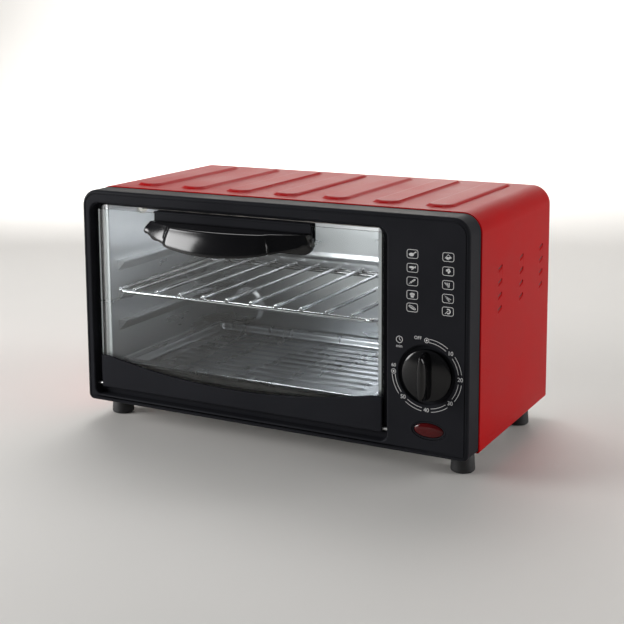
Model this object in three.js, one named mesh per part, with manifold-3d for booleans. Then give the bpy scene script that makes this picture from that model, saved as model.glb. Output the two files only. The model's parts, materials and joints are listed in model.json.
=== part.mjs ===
// A small countertop toaster oven: painted wrap-round casing, black front frame, drop-down glass
// door, clockwork timer, steel cavity with four heating elements, a wire rack and a baking tray.
// Millimetres. X runs left to right, Y from front to back, Z up from the surface it stands on.
import * as THREE from "three";
import { mergeVertices } from "three/addons/utils/BufferGeometryUtils.js";
import Module from "manifold-3d";

const wasm = await Module();
wasm.setup();

// ---------------------------------------------------------------- driving dimensions
// Body
const bodyWidth = 360; // front frame, left edge to right edge
const bodyHeight = 188.6; // front frame, bottom edge to top edge
const bodyDepth = 190; // front face to the rear edge of the casing
const footHeight = 18; // surface to the bottom edge of the front frame
const clearance = 0.3; // between pieces that touch
const sheet = 1; // pressed steel sheet

// Front frame
const frameDepth = 22.4; // black rim, front face to the casing
const frameWall = 2;
const frameCornerTop = 14;
const frameCornerBottom = 5;
const frameTongue = 7; // lip that slides into the casing
const panelWidth = 68; // right of the door opening
const leftStile = 8;
const topRail = 10.9;
const bottomRail = 6;
const openingCornerTop = 9;
const openingCornerBottom = 6;
const openingFlangeDepth = 9;
const openingLip = 5.2; // lip behind the door's sides and foot
const openingLipTop = 2.8;
const openingLipSheet = 1;
const shaftHoleGap = 1.2; // knob's shaft to the hole in the dish

// Casing
const casingProud = 0.8; // casing outside the frame's outline
const casingHem = 5; // lower edge folded inwards
const casingRearFlange = 9;
const casingCorner = 16;
const casingCornerBottom = 2.5;
const topRibCount = 7;
const topRibWidth = 24;
const topRibSideMargin = 30; // frame's side to the outermost rib
const topRibSetback = 14; // casing's front edge to the ribs
const topRibRearMargin = 11; // ribs to the casing's rear edge
const topRibHeight = 1.8;
const topRibCorner = 9;
const louvreRows = 4;
const louvreRowPitch = 11;
const louvreColumns = 3;
const louvreColumnPitch = 51;
const louvreFrontMargin = 70.4; // front face to the first column
const louvreTopMargin = 50.1; // frame's top edge to the first row
const louvreLength = 4.6;
const louvreWidth = 1.8;

// Door
const doorSideGap = 5.5;
const doorBottomGap = 6;
const doorTopGap = 5.7;
const doorSetback = 2.8; // front face of the frame to the door's lower trim
const glassThickness = 3.2;
const glassCornerTop = 4;
const glassCornerBottom = 1;
const glassHoleGap = 1; // handle's screws to the holes in the glass
const trimThickness = 1;
const trimEndHeight = 29; // lower trim at its two ends
const trimSag = 13.5; // how far its curved edge dips in the middle
const trimFlatEnd = 9; // straight stretch of that edge at each end
const trimRearHeight = 12;
const hingePinRadius = 1.5;
const hingePinInsert = 10; // length of pin inside the trim
const hingeBearing = 2; // length of pin inside the frame's side
const bracketWidth = 151;
const bracketProud = 2.3; // bracket in front of the trim's face
const bracketTopCover = 2.4; // bracket above the glass
const bracketHeight = 18;
const bracketRearLeg = 1.6;

// Handle
const handleWidth = 159;
const handleReach = 31.5; // bracket's front face to the wings' middle
const handleArcRadius = 153;
const handleTopDrop = 7.4; // bracket's top edge to the handle's top
const handleSkinTop = 3.4;
const handleSkinFront = 3.4;
const handleTipDepth = 9; // height of the front face at the tips
const handleMiddleDepth = 20; // height of the front face in the middle
const handleEndDepth = 11; // height of the end walls at the door
const handlePadDepth = 17.5; // handle's top to the pads behind its wings
const handlePadThickness = 4;
const handlePadCorner = 9;
const handlePadSteps = 6; // facets round a pad's corner
const handleTipReach = 8; // end walls in front of the door
const handleBossFloor = 3; // solid front of a boss
const handleScrewTipGap = 1; // screw's tip to the end of its bore
const handleScrewHead = 0.9;
const handleScrewDome = 0.8; // flat middle of the head, as a share of its radius
const gripWidth = 100;
const gripProud = 4.5;
const handleScrewSpacing = 112;
const handleScrewDrop = 14; // bracket's top edge to the screws
const handleBossRadius = 3.6;
const handleBossLength = 12;
const screwShankRadius = 1.6;
const screwHeadRadius = 3.4;
const screwHeadHeight = 2;

// Control panel
const knobRise = 64.5; // frame's bottom edge to the knob's axis
const panelAxisInset = 34.4; // frame's right edge to the knob's axis
const dishGap = 3; // knob's rim to the wall of its dish
const knobDomeShare = 0.55; // flat middle of the knob, as a share of its radius
const knobDomeDrop = 0.5;
const knobRimBand = 2;
const knobRimDrop = 0.8;
const dishDepth = 3;
const knobRadius = 20.5;
const knobSkirtDepth = 3.4;
const knobCrown = 2.5;
const knobGripWidth = 11;
const knobGripHeight = 38;
const knobGripReach = 10; // grip bar in front of the knob's crown
const knobFaceGap = 0.8; // knob's back to the bottom of the dish
const shaftRadius = 3;
const shaftBearingGap = 0.4;
const shaftInsert = 9; // length of shaft inside the timer
const lampRise = 20.7; // frame's bottom edge to the indicator lamp
const lampInset = 32.5; // frame's right edge to the indicator lamp
const lensWidth = 24.5;
const lensHeight = 11;
const bezelWall = 1.6;
const lensProud = 0.6;
const lensDepth = 6; // front face of the frame to the lens's back
const bezelRecess = 0.4;

// Timer and wiring
const timerSize = 44;
const timerDepth = 34;
const bellRadius = 19;
const bellDepth = 9;
const bellStemRadius = 3;
const bellWall = 1.5;
const bellRimGap = 1; // timer's back to the bell's rim
const bellCrown = 3;
const bellCrownInset = 5;
const bulbRadius = 4;
const bulbLength = 16;
const bulbHolderWidth = 12;
const bulbHolderHeight = 9;
const bulbHolderDepth = 10;
const bulbHolderOverlap = 4; // bulb inside its holder
const terminalWidth = 36;
const terminalDepth = 18;
const terminalHeight = 12;
const terminalGroovePitch = 12;
const terminalGrooveWidth = 2;
const terminalGrooveDepth = 5;
const fuseRadius = 7;
const fuseDepth = 8;
const fuseFlange = 1;
const fuseFlangeLength = 24;
const fuseFlangeHeight = 10;
const wireRadius = 1.4;

// Cavity
const ringGap = 1; // frame's opening flange to the cavity's front ring
const ringMargin = 3; // ring outside the door opening
const cavitySideStep = 12; // door opening to the cavity's side walls
const cavityFloorStep = 1; // door opening's lower edge down to the floor plate
const cavityRoofStep = 3; // door opening's upper edge up to the roof plate
const cavityRearGap = 7; // cavity's back wall to the casing's rear edge
const railDepth = 7.5;
const railHeight = 11;
const railNose = 1.5; // flat front face of a rail
const railSetback = 10; // front ring to the rails' front ends
const railRearMargin = 18;
const railTops = [34, 69.5, 96.4, 123.3]; // above the frame's bottom edge; the lowest holds the tray
const bossRadius = 17;
const bossDepth = 2.5;
const bossSlope = 3;
const bossRise = 52.4; // frame's bottom edge to the round boss
const bossInset = 37.5; // cavity's left wall to the round boss
const backRidgeRise = 109;
const backRidgeHeight = 5;
const backRidgeDepth = 1.5;
const backRidgeMargin = 4; // ridge's ends to the cavity's side walls

// Heating elements
const elementRadius = 3.2;
const elementFrontInset = 48; // cavity's ends to the elements
const elementRearInset = 42;
const elementRoofDrop = 13;
const elementFloorRise = 9;
const elementLeftOverhang = 12; // rod beyond the cavity's left wall
const elementRightOverhang = 16;
const insulatorRadius = 5.2;
const insulatorFlangeRadius = 7.5;
const insulatorFlange = 2.4;
const insulatorBarrel = 8;

// Wire rack
const rackSideClearance = 2;
const rackFrontGap = 2; // front ring's face to the front rod's middle
const rackRearGap = 6; // back wall to the rear rod's middle
const rackRearPairGap = 10;
const rackWireRadius = 1.7;
const rackWireCount = 10;
const rackWirePitch = 23.6;
const rackWireLift = 2.7; // lengthwise wires above the frame wire
const rackWireOverrun = 1.5; // long wires past the rear rod

// Baking tray
const trayFrontGap = 4; // front ring's face to the tray's rim
const trayRearGap = 3;
const traySideClearance = 4.5;
const trayRim = 9; // flat rim
const trayWallRun = 3.2; // sideways run of the sloping wall
const trayDepth = 6.6;
const traySheet = 0.8;
const trayCorner = 14;
const trayRibPitch = 13.4;
const trayRibWidth = 4;
const trayRibHeight = 1.3;
const trayRibMargin = 8; // ends of the ribs to the floor's edge
const trayRibFrontMargin = 10; // floor's front edge to the first rib

// Underside, back and fasteners
const baseFlange = 8;
const basePlateGap = 1; // base plate's sides to the casing
const baseFlangeInset = 8; // ends of the rear flange
const footScrewReach = 3; // screw's tip above the base plate
const footRadius = 9.8;
const footEdge = 3;
const footNeck = 6;
const footSideInset = 15.5;
const footEndInset = 30;
const footScrewRecess = 4;
const footScrewRecessDepth = 9;
const casingScrewRadius = 1.5;
const casingScrewRise = 30; // frame's bottom edge to the lower side screws
const casingScrewUpperRise = 8; // casing's half height to the upper side screws
const casingScrewReach = 4; // screw's tip in front of the rear panel
const casingScrewDome = 0.7; // flat middle of a screw's head, as a share of its radius
const casingScrewHeadRadius = 3.2;
const slotLength = 26;
const slotWidth = 4;
const slotPitch = 12;
const slotRowMargin = 52; // cavity's sides to the outermost slots
const rearSlotDrop = 34; // casing's top to the middle of the rear slots
const glandRadius = 7;
const glandFlangeRadius = 10;
const glandFlange = 3;
const glandReach = 8; // gland's body in front of the rear panel
const glandChamfer = 1.5;
const glandBore = 3.4;

// ---------------------------------------------------------------- places worked out from them
const frameLeft = -bodyWidth / 2;
const frameRight = bodyWidth / 2;
const frameBottom = footHeight;
const frameTop = footHeight + bodyHeight;

const openLeft = frameLeft + leftStile;
const openRight = frameRight - panelWidth;
const openBottom = frameBottom + bottomRail;
const openTop = frameTop - topRail;
const dishRadius = knobRadius + dishGap;

const doorLeft = openLeft + doorSideGap;
const doorRight = openRight - doorSideGap;
const doorMiddle = (doorLeft + doorRight) / 2;
const doorBottom = openBottom + doorBottomGap;
const doorTop = openTop - doorTopGap;
const glassFront = doorSetback + trimThickness + clearance;
const glassBack = glassFront + glassThickness;
const trimBack = glassBack + clearance + trimThickness;
const hingeY = (doorSetback + trimBack) / 2;
const hingeZ = doorBottom + trimThickness + clearance + hingePinRadius;

const casingLeft = frameLeft - casingProud;
const casingRight = frameRight + casingProud;
const casingTop = frameTop + casingProud;
const casingFront = frameDepth + clearance;
const baseTop = frameBottom + sheet + clearance + sheet;

const ringFront = openingFlangeDepth + ringGap;
const ringBack = ringFront + sheet;
const cavityLeft = openLeft + cavitySideStep;
const cavityRight = openRight - cavitySideStep;
const cavityMiddle = (cavityLeft + cavityRight) / 2;
const cavityBottom = openBottom - cavityFloorStep;
const cavityTop = openTop + cavityRoofStep;
const cavityFront = ringBack + clearance;
const cavityBack = bodyDepth - cavityRearGap;

const knobX = frameRight - panelAxisInset;
const knobZ = frameBottom + knobRise;
const lampX = frameRight - lampInset;
const lampZ = frameBottom + lampRise;

const bracketFront = doorSetback - bracketProud;
const bracketTop = doorTop + bracketTopCover;
const handleTop = bracketTop - handleTopDrop;
const handleBack = bracketFront - clearance;
const handleScrewZ = bracketTop - handleScrewDrop;
const gripFront = bracketFront - handleReach - gripProud;

const rearPanelBack = bodyDepth - sheet - clearance;
const rearPanelFront = rearPanelBack - sheet;
const glandX = (cavityRight + frameRight) / 2;
const glandZ = frameBottom + 24;
const terminalX = (cavityRight + frameRight) / 2 + 4;
const terminalY = bodyDepth - 48;

const elementYs = { front: cavityFront + elementFrontInset, rear: cavityBack - elementRearInset };
const elementZs = { upper: cavityTop - elementRoofDrop, lower: cavityBottom + elementFloorRise };
const footXs = { left: frameLeft + footSideInset, right: frameRight - footSideInset };
const footYs = { front: footEndInset, rear: bodyDepth - footEndInset };

// ---------------------------------------------------------------- solid helpers
// A closed geometry as a solid that can be cut and joined.
function solid(geometry) {
  const bare = geometry.index ? geometry.toNonIndexed() : geometry;
  bare.deleteAttribute("normal");
  bare.deleteAttribute("uv");
  const merged = mergeVertices(bare, 1e-4);
  return new wasm.Manifold(
    new wasm.Mesh({
      numProp: 3,
      vertProperties: new Float32Array(merged.attributes.position.array),
      triVerts: new Uint32Array(merged.index.array),
    }),
  );
}

function box(x0, x1, y0, y1, z0, z1) {
  const geometry = new THREE.BoxGeometry(x1 - x0, y1 - y0, z1 - z0);
  geometry.translate((x0 + x1) / 2, (y0 + y1) / 2, (z0 + z1) / 2);
  return solid(geometry);
}

// A shape drawn in X and Z, made solid from y0 to y1.
function platedY(shape, y0, y1, curveSegments = 5) {
  const geometry = new THREE.ExtrudeGeometry(shape, {
    depth: y1 - y0,
    bevelEnabled: false,
    curveSegments,
  });
  geometry.rotateX(Math.PI / 2);
  geometry.translate(0, y1, 0);
  return solid(geometry);
}

// A shape drawn in X and Y, made solid from z0 to z1.
function platedZ(shape, z0, z1, curveSegments = 5) {
  const geometry = new THREE.ExtrudeGeometry(shape, {
    depth: z1 - z0,
    bevelEnabled: false,
    curveSegments,
  });
  geometry.translate(0, 0, z0);
  return solid(geometry);
}

// A shape drawn in Y and Z, made solid from x0 to x1.
function platedX(shape, x0, x1, curveSegments = 5) {
  const geometry = new THREE.ExtrudeGeometry(shape, {
    depth: x1 - x0,
    bevelEnabled: false,
    curveSegments,
  });
  const turned = new THREE.Matrix4().makeBasis(
    new THREE.Vector3(0, 1, 0),
    new THREE.Vector3(0, 0, 1),
    new THREE.Vector3(1, 0, 0),
  );
  geometry.applyMatrix4(turned);
  geometry.translate(x0, 0, 0);
  return solid(geometry);
}

function cylinderY(x, z, radius, y0, y1, sides = 16) {
  const geometry = new THREE.CylinderGeometry(radius, radius, y1 - y0, sides);
  geometry.translate(x, (y0 + y1) / 2, z);
  return solid(geometry);
}

function cylinderX(y, z, radius, x0, x1, sides = 16) {
  const geometry = new THREE.CylinderGeometry(radius, radius, x1 - x0, sides);
  geometry.rotateZ(Math.PI / 2);
  geometry.translate((x0 + x1) / 2, y, z);
  return solid(geometry);
}

function cylinderZ(x, y, radius, z0, z1, sides = 16) {
  const geometry = new THREE.CylinderGeometry(radius, radius, z1 - z0, sides);
  geometry.rotateX(Math.PI / 2);
  geometry.translate(x, y, (z0 + z1) / 2);
  return solid(geometry);
}

// A profile of [radius, height] pairs turned about Y at (x, z); heights are Y values.
function turnedY(profile, x, z, sides = 24) {
  const points = profile.map(([radius, y]) => new THREE.Vector2(radius, y));
  const geometry = new THREE.LatheGeometry(points, sides);
  geometry.translate(x, 0, z);
  return solid(geometry);
}

// The same about Z at (x, y); heights are Z values.
function turnedZ(profile, x, y, sides = 20) {
  const points = profile.map(([radius, z]) => new THREE.Vector2(radius, z));
  const geometry = new THREE.LatheGeometry(points, sides);
  geometry.rotateX(Math.PI / 2);
  geometry.translate(x, y, 0);
  return solid(geometry);
}

// The same about X at (y, z); heights are X values.
function turnedX(profile, y, z, sides = 12) {
  const points = profile.map(([radius, x]) => new THREE.Vector2(radius, x));
  const geometry = new THREE.LatheGeometry(points, sides);
  geometry.rotateZ(-Math.PI / 2);
  geometry.translate(0, y, z);
  return solid(geometry);
}

// A rectangle with its own corner radius above and below.
function roundedRectangle(left, right, bottom, top, radiusTop, radiusBottom = radiusTop) {
  const shape = new THREE.Shape();
  const quarter = Math.PI / 2;
  shape.moveTo(left + radiusBottom, bottom);
  shape.lineTo(right - radiusBottom, bottom);
  shape.absarc(right - radiusBottom, bottom + radiusBottom, radiusBottom, -quarter, 0);
  shape.lineTo(right, top - radiusTop);
  shape.absarc(right - radiusTop, top - radiusTop, radiusTop, 0, quarter);
  shape.lineTo(left + radiusTop, top);
  shape.absarc(left + radiusTop, top - radiusTop, radiusTop, quarter, 2 * quarter);
  shape.lineTo(left, bottom + radiusBottom);
  shape.absarc(left + radiusBottom, bottom + radiusBottom, radiusBottom, 2 * quarter, 3 * quarter);
  return shape;
}

function polygon(points) {
  return new THREE.Shape(points.map(([a, b]) => new THREE.Vector2(a, b)));
}

function ellipse(x, z, width, height) {
  const shape = new THREE.Shape();
  shape.absellipse(x, z, width / 2, height / 2, 0, 2 * Math.PI);
  return shape;
}

function joined(pieces) {
  return pieces.reduce((whole, piece) => whole.add(piece));
}

function cut(whole, cutters) {
  return cutters.reduce((rest, cutter) => rest.subtract(cutter), whole);
}

// A round wire along a list of points, with straight runs and sharp corners.
function wireRun(points, radius, sides = 6) {
  const runs = points.slice(1).map((end, i) => {
    const start = new THREE.Vector3(...points[i]);
    const finish = new THREE.Vector3(...end);
    const length = start.distanceTo(finish);
    const geometry = new THREE.CylinderGeometry(radius, radius, length + radius, sides);
    const direction = finish.clone().sub(start).normalize();
    const turn = new THREE.Quaternion().setFromUnitVectors(new THREE.Vector3(0, 1, 0), direction);
    geometry.applyQuaternion(turn);
    const middle = start.add(finish).multiplyScalar(0.5);
    geometry.translate(middle.x, middle.y, middle.z);
    return solid(geometry);
  });
  return joined(runs);
}

// A soft insulated lead along a smooth curve.
function lead(points, radius) {
  const section = new THREE.Shape();
  section.absarc(0, 0, radius, 0, 2 * Math.PI);
  const curve = new THREE.CatmullRomCurve3(points.map((p) => new THREE.Vector3(...p)));
  const geometry = new THREE.ExtrudeGeometry(section, {
    steps: 14,
    curveSegments: 3,
    bevelEnabled: false,
    extrudePath: curve,
  });
  return solid(geometry);
}

// ---------------------------------------------------------------- materials
const finish = (color, roughness, metalness = 0) =>
  new THREE.MeshStandardMaterial({ color, roughness, metalness });
const redPaint = finish(0x9a1f24, 0.35);
const blackPaint = finish(0x26262a, 0.45);
const glossBlack = finish(0x0b0b0d, 0.15);
const glassFinish = finish(0x9fb0b4, 0.05);
const galvanised = finish(0xb4b8ba, 0.35, 0.9);
const chromeFinish = finish(0xd8dcde, 0.15, 1);
const trayFinish = finish(0x8a8d92, 0.3, 0.9);
const elementFinish = finish(0x6d6a66, 0.4, 0.8);
const ceramicFinish = finish(0xe8e2d2, 0.6);
const rubberFinish = finish(0x111113, 0.8);
const redLens = finish(0x8c0c14, 0.2);
const brassFinish = finish(0xb59a50, 0.35, 0.9);
const whiteFinish = finish(0xe6e4dc, 0.5);
const zincFinish = finish(0xc2c6c8, 0.3, 0.9);

// ---------------------------------------------------------------- the pieces
// The casing's outline in X and Z, moved inwards by some distance.
function casingOutline(inset) {
  return roundedRectangle(
    casingLeft + inset,
    casingRight - inset,
    frameBottom + inset,
    casingTop - inset,
    casingCorner - inset,
    Math.max(casingCornerBottom - inset, 0.5),
  );
}

function outerCasing() {
  const wrap = platedY(casingOutline(0), casingFront, bodyDepth, 6);
  const hollow = platedY(casingOutline(sheet), casingFront - 1, bodyDepth - sheet, 6);
  const rearWindow = platedY(casingOutline(casingRearFlange), casingFront, bodyDepth + 1, 3);
  const underside = box(
    casingLeft + casingHem,
    casingRight - casingHem,
    casingFront - 1,
    bodyDepth + 1,
    frameBottom - 1,
    frameBottom + casingRearFlange,
  );
  const ribs = topRibCentres().map((x) =>
    platedZ(
      roundedRectangle(
        x - topRibWidth / 2,
        x + topRibWidth / 2,
        casingFront + topRibSetback,
        bodyDepth - topRibRearMargin,
        topRibCorner,
      ),
      casingTop - sheet / 2,
      casingTop + topRibHeight,
      3,
    ),
  );
  const screwHoles = casingScrewPlaces().map(([x, z]) =>
    cylinderY(x, z, casingScrewRadius + clearance, rearPanelBack, bodyDepth + 1, 8),
  );
  return cut(joined([wrap, ...ribs]), [
    hollow,
    rearWindow,
    underside,
    ...louvreSlots(casingLeft),
    ...louvreSlots(casingRight),
    ...screwHoles,
  ]);
}

function topRibCentres() {
  const pitch = (bodyWidth - 2 * topRibSideMargin - topRibWidth) / (topRibCount - 1);
  return Array.from({ length: topRibCount }, (_, i) => (i - (topRibCount - 1) / 2) * pitch);
}

// Slanted slots pierced through one side of the casing.
function louvreSlots(sideX) {
  const slots = [];
  for (let column = 0; column < louvreColumns; column++) {
    for (let row = 0; row < louvreRows; row++) {
      const y = louvreFrontMargin + column * louvreColumnPitch;
      const z = frameTop - louvreTopMargin - row * louvreRowPitch;
      const slot = new THREE.BoxGeometry(4 * sheet, louvreLength, louvreWidth);
      slot.rotateX(Math.PI / 4);
      slot.translate(sideX, y, z);
      slots.push(solid(slot));
    }
  }
  return slots;
}

function casingScrewPlaces() {
  const x = casingRight - casingRearFlange / 2;
  const upper = (frameBottom + casingTop) / 2 + casingScrewUpperRise;
  const heights = [frameBottom + casingScrewRise, upper];
  const sides = heights.flatMap((z) => [
    [-x, z],
    [x, z],
  ]);
  const z = casingTop - casingRearFlange / 2;
  return [...sides, [-bodyWidth / 4, z], [bodyWidth / 4, z]];
}

function casingScrew([x, z]) {
  const seat = bodyDepth + clearance;
  const tip = rearPanelFront - casingScrewReach;
  const profile = [
    [0, tip],
    [casingScrewRadius, tip],
    [casingScrewRadius, seat],
    [casingScrewHeadRadius, seat],
    [casingScrewHeadRadius * casingScrewDome, seat + screwHeadHeight],
    [0, seat + screwHeadHeight],
  ];
  return turnedY(profile, x, z, 10);
}

function frameOutline(inset) {
  return roundedRectangle(
    frameLeft + inset,
    frameRight - inset,
    frameBottom + inset,
    frameTop - inset,
    frameCornerTop - inset,
    frameCornerBottom - inset,
  );
}

function openingOutline(grow) {
  return roundedRectangle(
    openLeft - grow,
    openRight + grow,
    openBottom - grow,
    openTop + grow,
    openingCornerTop + grow,
    openingCornerBottom + grow,
  );
}

function frontFrame() {
  const rim = platedY(frameOutline(0), 0, frameDepth);
  const tongueOutline = casingOutline(sheet + clearance);
  const tongueRing = platedY(tongueOutline, frameDepth - 1, frameDepth + frameTongue);
  const tongueFoot = box(
    casingLeft,
    casingRight,
    frameDepth,
    frameDepth + frameTongue + 1,
    frameBottom - 1,
    frameBottom + casingRearFlange,
  );
  const tongue = tongueRing.subtract(tongueFoot);
  const hollow = platedY(frameOutline(frameWall), frameWall, frameDepth + frameTongue + 1);
  const openingFlange = platedY(openingOutline(frameWall), 0.5, openingFlangeDepth);
  const dishBack = cylinderY(knobX, knobZ, dishRadius + frameWall, 0.5, dishDepth + frameWall, 24);
  const lipFront = openingFlangeDepth - openingLipSheet;
  const shell = joined([cut(joined([rim, tongue]), [hollow]), openingFlange, dishBack]);
  const lip = platedY(openingOutline(frameWall), lipFront, openingFlangeDepth);
  const doorway = platedY(openingOutline(0), -1, lipFront);
  const lipDoorway = platedY(lipOutline(), lipFront - 1, openingFlangeDepth + 1, 5);
  const dish = cylinderY(knobX, knobZ, dishRadius, -1, dishDepth, 24);
  const shaftHole = cylinderY(knobX, knobZ, shaftRadius + shaftHoleGap, -1, dishDepth + frameWall + 1, 12);
  const lampHole = platedY(lampOutline(bezelWall + 2 * clearance), -1, frameWall + 1, 10);
  const pinHoles = cylinderX(
    hingeY,
    hingeZ,
    hingePinRadius + clearance,
    openLeft - frameWall - 1,
    openRight + frameWall + 1,
    12,
  );
  const open = cut(shell, [doorway, dish, shaftHole, lampHole, pinHoles]);
  return cut(joined([open, lip]), [lipDoorway]);
}

// The narrower opening inside the lip that stands behind the door's edges.
function lipOutline() {
  return roundedRectangle(
    openLeft + openingLip,
    openRight - openingLip,
    openBottom + openingLip,
    openTop - openingLipTop,
    openingCornerTop - openingLip,
    openingCornerBottom - openingLip,
  );
}

function basePlate() {
  const inset = casingProud - sheet - clearance;
  const left = frameLeft - inset;
  const right = frameRight + inset;
  const front = casingFront;
  const back = rearPanelFront - clearance;
  const bottom = baseTop - sheet;
  const plate = box(left + basePlateGap, right - basePlateGap, front, back, bottom, baseTop);
  const rearFlange = box(
    left + baseFlangeInset,
    right - baseFlangeInset,
    back - sheet,
    back,
    bottom,
    baseTop + baseFlange,
  );
  const screwHoles = footPlaces().map(({ x, y }) =>
    cylinderZ(x, y, screwShankRadius + clearance, bottom - 1, baseTop + 1, 8),
  );
  const middle = (front + back) / 2;
  const slots = ventSlotCentres().map((x) =>
    platedZ(slotOutline(x, middle), bottom - 1, baseTop + 1),
  );
  return cut(joined([plate, rearFlange]), [...screwHoles, ...slots]);
}

// A row of vent slots centred on the cavity.
function ventSlotCentres() {
  const count = Math.floor((cavityRight - cavityLeft - 2 * slotRowMargin) / slotPitch) + 1;
  return Array.from({ length: count }, (_, i) => cavityMiddle + (i - (count - 1) / 2) * slotPitch);
}

// One slot, upright on the page, about (x, v).
function slotOutline(x, v) {
  const halfWidth = slotWidth / 2;
  const halfLength = slotLength / 2;
  return polygon([
    [x - halfWidth, v - halfLength],
    [x + halfWidth, v - halfLength],
    [x + halfWidth, v + halfLength],
    [x - halfWidth, v + halfLength],
  ]);
}

function rearPanel() {
  const inset = sheet + clearance;
  const plate = platedY(casingOutline(inset), rearPanelFront, rearPanelBack);
  const screwHoles = casingScrewPlaces().map(([x, z]) =>
    cylinderY(x, z, casingScrewRadius + clearance, rearPanelFront - 1, rearPanelBack + 1, 8),
  );
  const slots = ventSlotCentres().map((x) =>
    platedY(slotOutline(x, casingTop - rearSlotDrop), rearPanelFront - 1, rearPanelBack + 1),
  );
  const glandHole = cylinderY(glandX, glandZ, glandRadius + clearance, rearPanelFront - 1, rearPanelBack + 1);
  const low = box(frameLeft, frameRight, 0, bodyDepth, 0, frameBottom + sheet + clearance);
  return cut(plate, [...screwHoles, ...slots, glandHole, low]);
}

function cordGland() {
  const back = rearPanelBack + clearance;
  const profile = [
    [glandBore, rearPanelFront - glandReach],
    [glandRadius, rearPanelFront - glandReach],
    [glandRadius, back],
    [glandFlangeRadius, back],
    [glandFlangeRadius - glandChamfer, back + glandFlange],
    [glandBore, back + glandFlange],
    [glandBore, rearPanelFront - glandReach],
  ];
  return turnedY(profile, glandX, glandZ, 16);
}

function footPlaces() {
  return Object.entries(footYs).flatMap(([end, y]) =>
    Object.entries(footXs).map(([side, x]) => ({ name: `${end}_${side}`, x, y })),
  );
}

function foot({ x, y }) {
  const top = baseTop - sheet - clearance;
  const bore = screwShankRadius + clearance;
  const profile = [
    [footScrewRecess, 0],
    [footRadius - footEdge, 0],
    [footRadius - footEdge * 0.3, footEdge * 0.3],
    [footRadius, footEdge],
    [footRadius, frameBottom - clearance],
    [footNeck, frameBottom - clearance],
    [footNeck, top],
    [bore, top],
    [bore, footScrewRecessDepth],
    [footScrewRecess, footScrewRecessDepth],
    [footScrewRecess, 0],
  ];
  return turnedZ(profile, x, y);
}

function footScrew({ x, y }) {
  const seat = footScrewRecessDepth - clearance;
  const tip = baseTop + footScrewReach;
  const profile = [
    [0, seat - screwHeadHeight],
    [screwHeadRadius, seat - screwHeadHeight],
    [screwHeadRadius, seat],
    [screwShankRadius, seat],
    [screwShankRadius, tip],
    [0, tip],
  ];
  return turnedZ(profile, x, y, 10);
}

// ---- cavity
function cavityFrontRing() {
  const outer = roundedRectangle(
    openLeft - ringMargin,
    openRight + ringMargin,
    openBottom - ringMargin,
    openTop + ringMargin,
    openingCornerTop,
    openingCornerBottom,
  );
  const window = box(
    cavityLeft,
    cavityRight,
    ringFront - 1,
    ringBack + 1,
    openBottom + cavityFloorStep,
    openTop - cavityFloorStep,
  );
  return platedY(outer, ringFront, ringBack, 3).subtract(window);
}

// A side wall with its pressed rails, which stick out towards the cavity's middle.
function cavitySideWall(face, outwards) {
  const outer = face + outwards * sheet;
  const bottom = cavityBottom + clearance;
  const top = cavityTop - clearance;
  const wall = box(Math.min(face, outer), Math.max(face, outer), cavityFront, cavityBack, bottom, top);
  const rails = railTops.map((rise) => {
    const railTop = frameBottom + rise;
    const tip = face - outwards * railDepth;
    const shape = polygon([
      [outer, railTop],
      [tip, railTop],
      [tip, railTop - railNose],
      [outer, railTop - railHeight],
    ]);
    return platedY(shape, ringBack + railSetback, cavityBack - railRearMargin);
  });
  const holes = elementPlaces().map(({ y, z }) =>
    cylinderX(y, z, insulatorRadius + clearance, face - 3 * sheet, face + 3 * sheet, 12),
  );
  return cut(joined([wall, ...rails]), holes);
}

function cavityRoof() {
  const left = cavityLeft - sheet;
  const right = cavityRight + sheet;
  return box(left, right, cavityFront, cavityBack, cavityTop, cavityTop + sheet);
}

function cavityFloor() {
  const left = cavityLeft - sheet;
  const right = cavityRight + sheet;
  return box(left, right, cavityFront, cavityBack, cavityBottom - sheet, cavityBottom);
}

function cavityBackWall() {
  const front = cavityBack + clearance;
  const wall = box(
    cavityLeft - sheet,
    cavityRight + sheet,
    front,
    front + sheet,
    cavityBottom - sheet,
    cavityTop + sheet,
  );
  const bossX = cavityLeft + bossInset;
  const bossZ = frameBottom + bossRise;
  const boss = turnedY(
    [
      [0, front + sheet / 2],
      [bossRadius, front + sheet / 2],
      [bossRadius - bossSlope, front - bossDepth],
      [0, front - bossDepth],
    ].reverse(),
    bossX,
    bossZ,
    20,
  );
  const ridgeZ = frameBottom + backRidgeRise;
  const ridge = platedX(
    polygon([
      [front + sheet / 2, ridgeZ - backRidgeHeight / 2],
      [front + sheet / 2, ridgeZ + backRidgeHeight / 2],
      [front - backRidgeDepth, ridgeZ],
    ]),
    cavityLeft + backRidgeMargin,
    cavityRight - backRidgeMargin,
  );
  return joined([wall, boss, ridge]);
}

// ---- heating elements
function elementPlaces() {
  return Object.entries(elementZs).flatMap(([level, z]) =>
    Object.entries(elementYs).map(([end, y]) => ({ name: `${level}_${end}`, y, z })),
  );
}

function elementRod({ y, z }) {
  return cylinderX(y, z, elementRadius, cavityLeft - elementLeftOverhang, cavityRight + elementRightOverhang);
}

// A ceramic bush: its flange is inside the cavity and its barrel goes out through the wall.
function insulator({ y, z }, face, outwards) {
  const flangeFace = face - outwards * (clearance + insulatorFlange);
  const seat = face - outwards * clearance;
  const end = face + outwards * insulatorBarrel;
  const bore = elementRadius + clearance;
  const profile = [
    [bore, flangeFace],
    [insulatorFlangeRadius, flangeFace],
    [insulatorFlangeRadius, seat],
    [insulatorRadius, seat],
    [insulatorRadius, end],
    [bore, end],
    [bore, flangeFace],
  ];
  return turnedX(outwards > 0 ? profile : profile.reverse(), y, z);
}

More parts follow.
